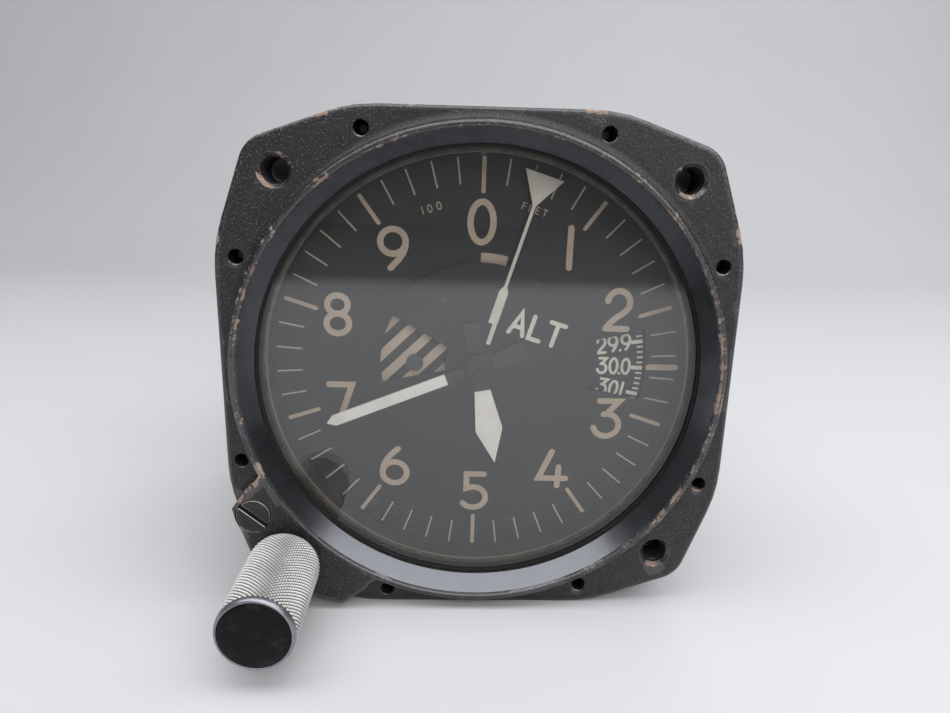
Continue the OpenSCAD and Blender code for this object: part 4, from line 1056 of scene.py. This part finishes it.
def make_knurl_tree():
    """Staggered four-sided points on a cylinder that closes in a quarter-round shoulder."""
    tree, marks, w, given, out = geometry_tree("Diamond knurl", [
        ("Columns", "Int"), ("Rows", "Int"), ("Radius", "Float"), ("Front", "Float"), ("Row step", "Float"),
        ("Shoulder start", "Float"), ("Shoulder radius", "Float"), ("Point height", "Float"),
        ("Axis X", "Float"), ("Axis Z", "Float"), ("Material", "Material")])
    count = w.math("MULTIPLY", given["Columns"], given["Rows"])
    points = w.node("GeometryNodePoints", {"Count": count})
    index = w.math("ADD", w.node("GeometryNodeInputIndex").outputs[0], 0.001)
    row = w.math("FLOOR", w.math("DIVIDE", index, given["Columns"]))
    column = w.math("FLOOR", w.math("MODULO", index, given["Columns"]))
    odd = w.math("MULTIPLY", w.math("MODULO", row, 2.0), 0.5)
    angle = w.math("MULTIPLY", w.math("DIVIDE", w.math("ADD", column, odd), given["Columns"]), math.tau)
    along = w.math("MULTIPLY_ADD", row, given["Row step"], given["Front"])
    past = w.math("MAXIMUM", 0.0, w.math("SUBTRACT", along, given["Shoulder start"]))
    bend = w.math("DIVIDE", past, given["Shoulder radius"])
    drop = w.math("MULTIPLY", given["Shoulder radius"], w.math("SUBTRACT", 1.0, w.math("COSINE", bend)))
    radius = w.math("SUBTRACT", given["Radius"], drop)
    straight = w.math("MINIMUM", along, given["Shoulder start"])
    depth = w.math("MULTIPLY_ADD", given["Shoulder radius"], w.math("SINE", bend), straight)
    cos, sin = w.math("COSINE", angle), w.math("SINE", angle)
    spot = w.combine(X=w.math("MULTIPLY_ADD", radius, cos, given["Axis X"]), Y=depth,
                     Z=w.math("MULTIPLY_ADD", radius, sin, given["Axis Z"]))
    out_part = w.math("COSINE", bend)
    normal = w.combine(X=w.math("MULTIPLY", out_part, cos), Y=w.math("SINE", bend),
                       Z=w.math("MULTIPLY", out_part, sin))
    tangent = w.combine(X=w.math("MULTIPLY", sin, -1.0), Z=cos)
    axes = {0: normal, 1: tangent}
    facing = w.node("FunctionNodeAxesToRotation", axes, primary_axis="Z", secondary_axis="X")
    placed = w.node("GeometryNodeSetPosition", {"Geometry": points.outputs[0], "Position": spot})
    cone = {"Vertices": 4, "Radius Top": 0.0, "Radius Bottom": 1.0, "Depth": 1.0}
    point = w.node("GeometryNodeMeshCone", cone, fill_type="NONE")
    width = w.math("DIVIDE", w.math("MULTIPLY", radius, math.pi), given["Columns"])
    size = w.combine(X=width, Y=given["Row step"], Z=given["Point height"])
    studs = w.node("GeometryNodeInstanceOnPoints", {
        "Points": placed.outputs[0], "Instance": point.outputs[0],
        "Rotation": facing.outputs[0], "Scale": size})
    close_tree(w, studs.outputs[0], given, out)
    return tree, marks


def make_knob():
    """The knurled knob with its smooth black front rim and rounded rear shoulder."""
    front, rear, shoulder, depth = KNOB_FRONT, KNOB_REAR, 2.5, 0.31
    core, rim_depth, rim_in, bore, bore_depth = KNOB_R - depth, 0.85, CAP_R + 0.1, 1.7, 6.0
    shape = Shape()
    profile = [(CAP_R + 0.03, front + 1.15), (CAP_R + 0.03, front + 0.1)]
    for angle in quarter_turn(8):
        reach = rim_in + (KNOB_R - 0.06 - rim_in) * math.sin(angle)
        profile.append((reach, front + rim_depth * (1 - math.cos(angle))))
    rim_faces = len(profile)
    profile += [(core, front + rim_depth + 0.1), (core, rear - shoulder)]
    for angle in quarter_turn(12)[1:]:
        reach = core - shoulder + shoulder * math.cos(angle)
        profile.append((reach, rear - shoulder + (shoulder - depth) * math.sin(angle)))
    profile += [(bore, rear - depth), (bore, rear - bore_depth)]
    kinds = [1 if k < rim_faces - 1 else 0 for k in range(len(profile) - 1)]
    shape.lathe(KNOB, profile, 120, kinds)
    core_mesh = shape.mesh("knob_core")
    tree, marks = make_knurl_tree()
    columns = 49
    step = math.pi * core / columns
    start = front + rim_depth + 0.12 + step
    rows = int((rear - shoulder - start + shoulder * 1.35) / step)
    knurl = grown_mesh("knob_knurl", tree, marks, {
        "Columns": columns, "Rows": rows, "Radius": core * MM, "Front": start * MM, "Row step": step * MM,
        "Shoulder start": (rear - shoulder) * MM, "Shoulder radius": (shoulder - 0.1) * MM,
        "Point height": depth * MM, "Axis X": KNOB[0] * MM, "Axis Z": KNOB[1] * MM,
        "Material": FINISH["knob_aluminium"]})
    work = bmesh.new()
    for polygon in knurl.polygons:
        polygon.material_index = 0
    work.from_mesh(core_mesh)
    work.from_mesh(knurl)
    made = bpy.data.meshes.new("knurled_knob")
    work.to_mesh(made)
    work.free()
    heights = []
    for vertex in made.vertices:
        spot = vertex.co / MM
        away = math.hypot(spot.x - KNOB[0], spot.z - KNOB[1])
        past = spot.y - (rear - shoulder)
        if past > 0:
            away = core - shoulder + math.hypot(away - core + shoulder, past)
        heights.append(max(0.0, min(1.0, (away - core) / depth)))
    made.attributes["rub"].data.foreach_set("value", heights)
    made.shade_smooth()
    made.set_sharp_from_angle(angle=math.radians(25))
    finishes = [FINISH["knob_aluminium"], KNOB_RIM]
    piece("knurled_knob", made, "knob", finishes, ["knob_body"])


def make_cap():
    """The slightly domed cap in the knob's front."""
    shape = Shape()
    crown, edge, back = 0.35, 0.12, KNOB_FRONT + 1.2
    profile = [(CAP_R * i / 10, KNOB_FRONT - crown * (1 - (i / 10) ** 2)) for i in range(10)]
    profile += [(CAP_R - edge, KNOB_FRONT - 0.01), (CAP_R, KNOB_FRONT + edge), (CAP_R, back), (0.0, back)]
    shape.lathe(KNOB, profile, 96)
    mesh = shape.mesh("knob_front_cap", 50)
    piece("knob_front_cap", mesh, "knob", [FINISH["cap_black"]], ["knob_cap"])


# Printing on the dial, the disc and the scale


def curve(cx, cy, rx, ry, start, end, steps=24):
    """Points on part of an ellipse, from one angle to another in degrees."""
    turns = [math.radians(start + (end - start) * i / steps) for i in range(steps + 1)]
    return [(cx + rx * math.cos(a), cy + ry * math.sin(a)) for a in turns]


# Centre lines of the glyphs, one unit high
GLYPHS = {
    "0": [curve(0.29, 0.5, 0.29, 0.5, 0, 360, 44)],
    "1": [[(0.0, 0.0), (0.0, 1.0)]],
    "2": [curve(0.35, 0.69, 0.29, 0.31, 172, -22) + [
        (0.56, 0.49), (0.46, 0.40), (0.33, 0.31), (0.20, 0.20), (0.10, 0.09), (0.05, 0.01)],
          [(0.04, 0.0), (0.60, 0.0)]],
    "3": [[(0.12, 1.0), (0.66, 1.0), (0.32, 0.63)],
          [(0.25, 0.62), (0.30, 0.634)] + curve(0.333, 0.318, 0.345, 0.318, 90, -165)],
    "4": [[(0.345, 1.0), (0.0, 0.215), (0.76, 0.215)], [(0.555, 0.55), (0.53, 0.0)]],
    "5": [[(0.577, 1.0), (0.096, 1.0), (0.096, 0.57)] + curve(0.288, 0.308, 0.345, 0.308, 108, -145)],
    "6": [curve(0.33, 0.306, 0.33, 0.306, 0, 360, 40),
          [(0.0, 0.30), (0.015, 0.45), (0.065, 0.60), (0.16, 0.75), (0.29, 0.89), (0.42, 1.0)]],
    "7": [[(0.0, 1.0), (0.60, 1.0), (0.26, 0.0)]],
    "8": [curve(0.29, 0.76, 0.262, 0.24, 0, 360, 40), curve(0.29, 0.262, 0.29, 0.262, 0, 360, 40)],
    "9": [curve(0.32, 0.69, 0.32, 0.31, 0, 360, 40),
          [(0.64, 0.69), (0.63, 0.55), (0.57, 0.39), (0.46, 0.23), (0.26, 0.02)]],
    "A": [[(0.0, 0.0), (0.32, 1.0), (0.64, 0.0)], [(0.11, 0.33), (0.53, 0.33)]],
    "L": [[(0.0, 1.0), (0.0, 0.0), (0.5, 0.0)]],
    "T": [[(0.0, 1.0), (0.66, 1.0)], [(0.33, 1.0), (0.33, 0.0)]],
    "F": [[(0.48, 1.0), (0.0, 1.0), (0.0, 0.0)], [(0.0, 0.53), (0.40, 0.53)]],
    "E": [[(0.48, 1.0), (0.0, 1.0), (0.0, 0.0), (0.48, 0.0)], [(0.0, 0.53), (0.40, 0.53)]],
    ".": [[(0.0, 0.0), (0.0, 0.02)]],
}
DOT_ROOM = 0.07


def stroke(shape, path, width, front):
    """A ribbon of paint along a path of (x, z) points, with round ends and pointed corners."""
    shape.layers += 1
    high = front - PAINT_DEPTH - 0.003 * (shape.layers % 9)
    points = [Vector(p) for p in path]
    closed = (points[0] - points[-1]).length < 1e-4
    if closed:
        points.pop()
    count = len(points)
    left, right, ways = [], [], []
    for i, here in enumerate(points):
        a = here - points[i - 1] if closed or i else points[1] - here
        b = points[(i + 1) % count] - here if closed or i < count - 1 else a
        mid = (a.normalized() + b.normalized()).normalized()
        side = Vector((-mid.y, mid.x)) * (width / 2 / max(0.42, mid.dot(b.normalized())))
        left.append(here + side)
        right.append(here - side)
        ways.append(mid)

    def cap(spot, way):
        """Half a turn from the left side of the way round its end to the right side."""
        start = math.degrees(math.atan2(way.y, way.x)) + 90
        return [spot + Vector(polar(width / 2, start - 180 * i / 8)) for i in range(1, 8)]

    ends = [] if closed else [cap(points[-1], ways[-1]), cap(points[0], -ways[0])]
    for y, flip in ((high, 1), (front, -1)):
        sides = [shape.loop([(p.x, y, p.y) for p in line]) for line in (left, right)]
        shape.bridge(sides[0][::flip], sides[1][::flip], closed)
        rounds = [shape.loop([(p.x, y, p.y) for p in end]) for end in ends]
        if rounds:
            shape.face([sides[0][-1]] + rounds[0] + [sides[1][-1]])
            shape.face([sides[1][0]] + rounds[1] + [sides[0][0]])
            border = [sides[0] + rounds[0] + sides[1][::-1] + rounds[1]]
        else:
            border = sides
        if y == high:
            upper = border
    for first, second in zip(upper, border):
        shape.bridge(first, second)


def write(shape, text, centre, height, width, front, turn=0.0, spacing=0.22, squeeze=1.0):
    """Sets a word of stroked glyphs about its centre."""
    tall = height - width
    places = []
    x = 0.0
    for glyph in text:
        if glyph == ".":
            places.append(x - (spacing - DOT_ROOM) / 2)
            x += DOT_ROOM
            continue
        places.append(x)
        x += max(p[0] for path in GLYPHS[glyph] for p in path) * squeeze + spacing
    middle = (x - spacing) / 2
    c, s = math.cos(math.radians(turn)), math.sin(math.radians(turn))
    for glyph, start in zip(text, places):
        for path in GLYPHS[glyph]:
            flat = [((start - middle + px * squeeze) * tall, (pz - 0.5) * tall) for px, pz in path]
            line = [(centre[0] + u * c - v * s, centre[1] + u * s + v * c) for u, v in flat]
            stroke(shape, line, width, front)


def panel(shape, corners, front, thickness=PAINT_DEPTH):
    """A flat patch of paint with a convex outline."""
    shape.layers += 1
    high = front - thickness - 0.003 * (shape.layers % 9)
    upper = shape.loop([(x, high, z) for x, z in corners])
    lower = shape.loop([(x, front, z) for x, z in corners])
    shape.bridge(lower, upper)
    shape.face(upper)
    shape.face(lower[::-1])


def along(aim, radius, aside):
    """A point so far out along a clock direction, and so far to its right."""
    out, right = Vector(clock(1.0, aim)), Vector(clock(1.0, aim + 90))
    return out * radius + right * aside


def clipped(corners, spot, way):
    """The part of a convex outline on the side of a line that way points to."""
    kept = []
    for i, here in enumerate(corners):
        before = corners[i - 1]
        a, b = (before - spot).dot(way), (here - spot).dot(way)
        if (a < 0) != (b < 0):
            kept.append(before + (here - before) * (a / (a - b)))
        if b >= 0:
            kept.append(here)
    return kept


# Middles of the numerals on the dial
NUMERALS = {
    "0": (0.07, 24.0), "1": (14.85, 20.1), "2": (23.55, 9.8), "3": (23.1, -9.8), "4": (13.96, -19.5),
    "5": (-0.06, -24.0), "6": (-14.4, -19.3), "7": (-23.7, -7.5), "8": (-23.9, 8.1), "9": (-14.55, 19.3)}
STRIPE_SLANT, STRIPE_PITCH, STRIPE_WIDTH = 44.0, 3.03, 1.54
STRIPE_MIDDLE = Vector((-8.59, 4.665))


def make_stripes(shape):
    """Slanted warning stripes on the dial, seen through the window of the disc."""
    window_start, window_step, window_steps = 246, 3.0, 22
    rim = [Vector(clock(DISC_R - 0.1, window_start + i * window_step)) for i in range(window_steps + 1)]
    sector = [Vector((0, 0))] + rim
    slant = Vector(polar(1.0, STRIPE_SLANT))
    across = Vector((slant.y, -slant.x))
    for k in range(-2, 4):
        middle = STRIPE_MIDDLE + across * (k * STRIPE_PITCH)
        half, reach = STRIPE_WIDTH / 2, DISC_R + 2.5
        ends = ((-reach, half), (reach, half), (reach, -half), (-reach, -half))
        corners = [middle + slant * a + across * b for a, b in ends]
        for i, here in enumerate(sector):
            edge = sector[(i + 1) % len(sector)] - here
            corners = clipped(corners, here, Vector((edge.y, -edge.x))) if corners else corners
        if len(corners) > 2:
            panel(shape, corners, DIAL_Y, 0.02)


def make_dial_print():
    """Numerals, small words, the bar, the index and the warning stripes on the dial."""
    shape = Shape()
    height, width, word_width, word_turn = 7.6, 1.05, 0.17, 17.4
    for digit, spot in NUMERALS.items():
        write(shape, digit, spot, height, width, DIAL_Y, turn=-DIAL_TURN)
    write(shape, "100", (-8.2, 26.1), 1.35, word_width, DIAL_Y, turn=word_turn, spacing=0.75)
    write(shape, "FEET", (8.7, 26.2), 1.25, word_width, DIAL_Y, turn=-word_turn, spacing=0.6)
    bar_outer, bar_inner, bar_start, bar_step = 19.0, 16.9, 0.1, 14 / 6
    outer = [clock(bar_outer, bar_start + bar_step * i) for i in range(7)]
    inner = [clock(bar_inner, bar_start + bar_step * i) for i in range(7)]
    for i in range(6):
        panel(shape, [outer[i], outer[i + 1], inner[i + 1], inner[i]], DIAL_Y)
    stroke(shape, [(29.8, -0.2), (34.5, -0.2)], width, DIAL_Y)
    make_stripes(shape)
    piece("dial_numerals", shape.mesh("dial_numerals", 40), "body", [DIAL_TAN])


def make_graduations():
    """The ring of fifty graduations, long at each numeral, and the fine ones on the scale."""
    tree, marks = make_tick_tree()
    made = grown_mesh("dial_graduations", tree, marks, {
        "Count": 50, "Step": 7.2, "Start": DIAL_TURN, "Long every": 5, "Outer radius": 34.45 * MM,
        "Short length": 4.2 * MM, "Long length": 5.5 * MM, "Short width": 0.27 * MM,
        "Long width": 0.68 * MM, "Depth": (DIAL_Y - PAINT_DEPTH / 2) * MM, "Thickness": PAINT_DEPTH * MM,
        "Material": DIAL_TAN})
    piece("dial_graduations", made, "body", [])
    fine = 1.92
    scale_mesh = grown_mesh("scale_graduations", tree, marks, {
        "Count": 150, "Step": -fine, "Start": 91.27 + fine * 50, "Long every": 5,
        "Outer radius": 29.0 * MM, "Short length": 0.95 * MM, "Long length": 1.75 * MM,
        "Short width": 0.33 * MM, "Long width": 0.68 * MM, "Depth": (SCALE_Y - PAINT_DEPTH / 2) * MM,
        "Thickness": PAINT_DEPTH * MM, "Material": SCALE_CREAM})
    piece("scale_graduations", scale_mesh, "scale", [])


def make_scale_print():
    """Pressure settings round the scale, upright where they pass the window."""
    shape = Shape()
    first, last, at_rest, step = 281, 309, 300, 9.6
    radius, height, width = 23.9, 3.15, 0.48
    for value in range(first, last + 1):
        turn = -step * (value - at_rest) - 0.9
        text = f"{value // 10}.{value % 10}"
        spot = polar(radius, turn)
        write(shape, text, spot, height, width, SCALE_Y, turn=turn, spacing=0.24, squeeze=0.85)
    piece("scale_numerals", shape.mesh("scale_numerals", 40), "scale", [SCALE_CREAM])


def make_pointer_paint():
    """The word and the painted pointer on the ten-thousand-foot disc."""
    shape = Shape()
    write(shape, "ALT", (9.85, 6.45), 4.6, 0.75, DISC_Y, turn=-POINTER_AIM, spacing=0.27)
    root, wide_from, wide_to, neck_to, tip = 3.95, 7.6, 13.2, 14.0, 33.3
    arm_to, tip_from = 28.1, 27.7
    half, neck_half, arm_half, tip_half = 0.78, 0.45, 0.27, 3.3

    def patch(*corners):
        panel(shape, [along(POINTER_AIM, radius, aside) for radius, aside in corners], DISC_Y)

    patch((root, 0.02), (root, 0.76), (wide_from + 0.1, 0.76), (wide_from + 0.1, 0.02))
    patch((wide_from, -half), (wide_from, half), (wide_to, half),
          (neck_to, neck_half), (neck_to, -neck_half), (wide_to, -half))
    patch((neck_to - 0.1, -arm_half), (neck_to - 0.1, arm_half), (arm_to, arm_half), (arm_to, -arm_half))
    patch((tip_from, 0.0), (tip, tip_half), (tip, -tip_half))
    mesh = shape.mesh("pointer_paint", 40)
    piece("pointer_paint", mesh, "ten_thousand_foot", [SCALE_CREAM])


def make_hub():
    """The black cap over the hands, with a turned ring and a centre hole."""
    shape = Shape()
    front, back, radius = 5.6, 6.2, 2.45
    profile = [(0.0, front + 0.3), (0.24, front + 0.3), (0.28, front + 0.03), (0.36, front), (1.5, front)]
    profile += [(1.56, front + 0.07), (1.68, front + 0.07), (1.74, front), (2.2, front)]
    profile += [(2.33, front + 0.05), (radius - 0.03, front + 0.14), (radius, front + 0.26)]
    profile += [(radius, back), (0.75, back)]
    shape.lathe((0, 0), profile, 72)
    mesh = shape.mesh("hub_cap_turned")
    piece("hub_cap_turned", mesh, "hundred_foot", [FINISH["black_metal"]], ["hub_cap"])


def make_glass_and_gasket():
    """The cover glass with a polished edge, and the brown gasket's rolled inner lip behind it."""
    front, back, rim, polish = 1.7, 4.7, 37.1, 0.5
    glass = Shape()
    glass.lathe((0, 0), [(0.0, front), (rim - polish, front), (rim, front + polish), (rim, back - polish),
                         (rim - polish, back), (0.0, back)], 240)
    mesh = glass.mesh("cover_glass_disc", 30)
    piece("cover_glass_disc", mesh, "body", [FINISH["cover_glass"]], ["cover_glass"])
    lip, lip_r, middle = 35.3, 0.38, 5.1
    start, end = middle - lip_r, middle + lip_r
    gasket = Shape()
    roll = [math.pi * i / 8 for i in range(1, 8)]
    profile = [(rim, start), (lip, start)]
    profile += [(lip - lip_r * math.sin(a), middle - lip_r * math.cos(a)) for a in roll]
    profile += [(lip, end), (rim, end), (rim, start)]
    gasket.lathe((0, 0), profile, 240)
    mesh = gasket.mesh("gasket_ring", 40)
    piece("gasket_ring", mesh, "body", [FINISH["brown_gasket"]], ["glass_gasket"])


def paint_nodes():
    """Gives each construction node the finish of its slot."""
    for part in frame["record"]["subparts"]:
        node = frame["nodes"][part["node"]]
        node.data.materials.clear()
        node.data.materials.append(FINISH[part["material_slot"]])
    frame["nodes"]["thousand_hand"].data.materials[0] = THOUSAND_PAINT


# The stage


def make_floor():
    """A pale floor that curves up behind the instrument, painted dark in front as a painted shade that the
    glass reflects.
    """
    shape = Shape()
    floor_z = size_at_load[0][2] / MM - 0.02
    near, far, bend_r, high, half = -900.0, 400.0, 300.0, 1200.0, 1500.0
    bend = [math.radians(a) for a in range(6, 91, 6)]
    profile = [(near, 0.0), (far, 0.0)]
    profile += [(far + bend_r * math.sin(a), bend_r - bend_r * math.cos(a)) for a in bend]
    profile.append((far + bend_r, high))
    rows = [shape.loop([(-half, y, z + floor_z), (half, y, z + floor_z)]) for y, z in profile]
    for first, second in zip(rows, rows[1:]):
        shape.bridge(first, second, False)
    mesh = shape.mesh("floor", 60)
    floor = new_object("floor", mesh)
    finish = Finish("pale_floor", Roughness=0.9)
    w = finish.wires
    grain = finish.grain(40.0)
    pale = w.blend(grain["Mottle"], (0.66, 0.67, 0.69, 1), (0.645, 0.655, 0.675, 1))
    depth = w.node("ShaderNodeSeparateXYZ", {0: finish.place}).outputs["Y"]
    # Painted shade: the floor turns dark in front of the instrument, standing in for the dim room and the
    # shadow in front, which the glass reflects.
    finish.set("Base Color", w.blend(w.step(depth, -0.40, -0.32), (0.16, 0.16, 0.165, 1), pale))
    mesh.materials.append(finish.material)


# Each lamp: where it is, what it is aimed at, its size and its power
LAMPS = {
    "overhead": ((0.12, -0.13, 0.62), (0.12, 0.0, 0.0), (1.5, 0.45), 6.0),
    "front_fill": ((0.55, -0.85, 0.50), (0.0, 0.0, 0.0), (0.7, 0.7), 4.0),
    "floor_fill": ((0.0, -0.45, 0.34), (0.0, -0.2, -0.04), (0.3, 0.2), 0.65),
    "rear_fill": ((0.35, 0.60, 0.60), (0.0, 0.0, 0.0), (0.4, 0.4), 1.0),
}


def make_light():
    """Soft lamps aimed at the instrument, and a dim even room."""
    for name, (spot, aim, size, power) in LAMPS.items():
        light = bpy.data.lights.new(name, "AREA")
        light.energy = power
        light.shape = "RECTANGLE"
        light.size, light.size_y = size
        lamp = new_object(name, light)
        lamp.location = spot
        lamp.rotation_euler = (Vector(aim) - Vector(spot)).to_track_quat("-Z", "Y").to_euler()
    world = bpy.data.worlds.new("studio")
    world.use_nodes = True
    world.node_tree.nodes["Background"].inputs["Color"].default_value = (1, 1, 1, 1)
    world.node_tree.nodes["Background"].inputs["Strength"].default_value = 0.17
    bpy.context.scene.world = world
    bpy.context.scene.view_settings.view_transform = "Standard"


def make_camera():
    """The photograph's view: above the middle, a little left, close, with a wide lens."""
    camera = new_object("camera", bpy.data.cameras.new("camera"))
    camera.data.sensor_width = 36.0
    camera.data.lens = 26.33
    camera.data.clip_start = 0.005
    right = Vector((0.9993, -0.028, 0.0251)).normalized()
    look = Vector((0.0335, 0.9668, -0.2534)).normalized()
    up = right.cross(look)
    turn = Matrix((right, up, -look)).transposed().to_4x4()
    camera.matrix_world = Matrix.Translation(Vector((-4.53, -107.67, 31.55)) * MM) @ turn
    bpy.context.scene.camera = camera


paint_nodes()
make_bezel()
make_hole_threads()
make_lock_screw()
make_case()
make_case_screws()
make_port()
make_knob()
make_cap()
make_glass_and_gasket()
make_dial_print()
make_graduations()
make_scale_print()
make_pointer_paint()
make_hub()
make_floor()
make_light()
make_camera()
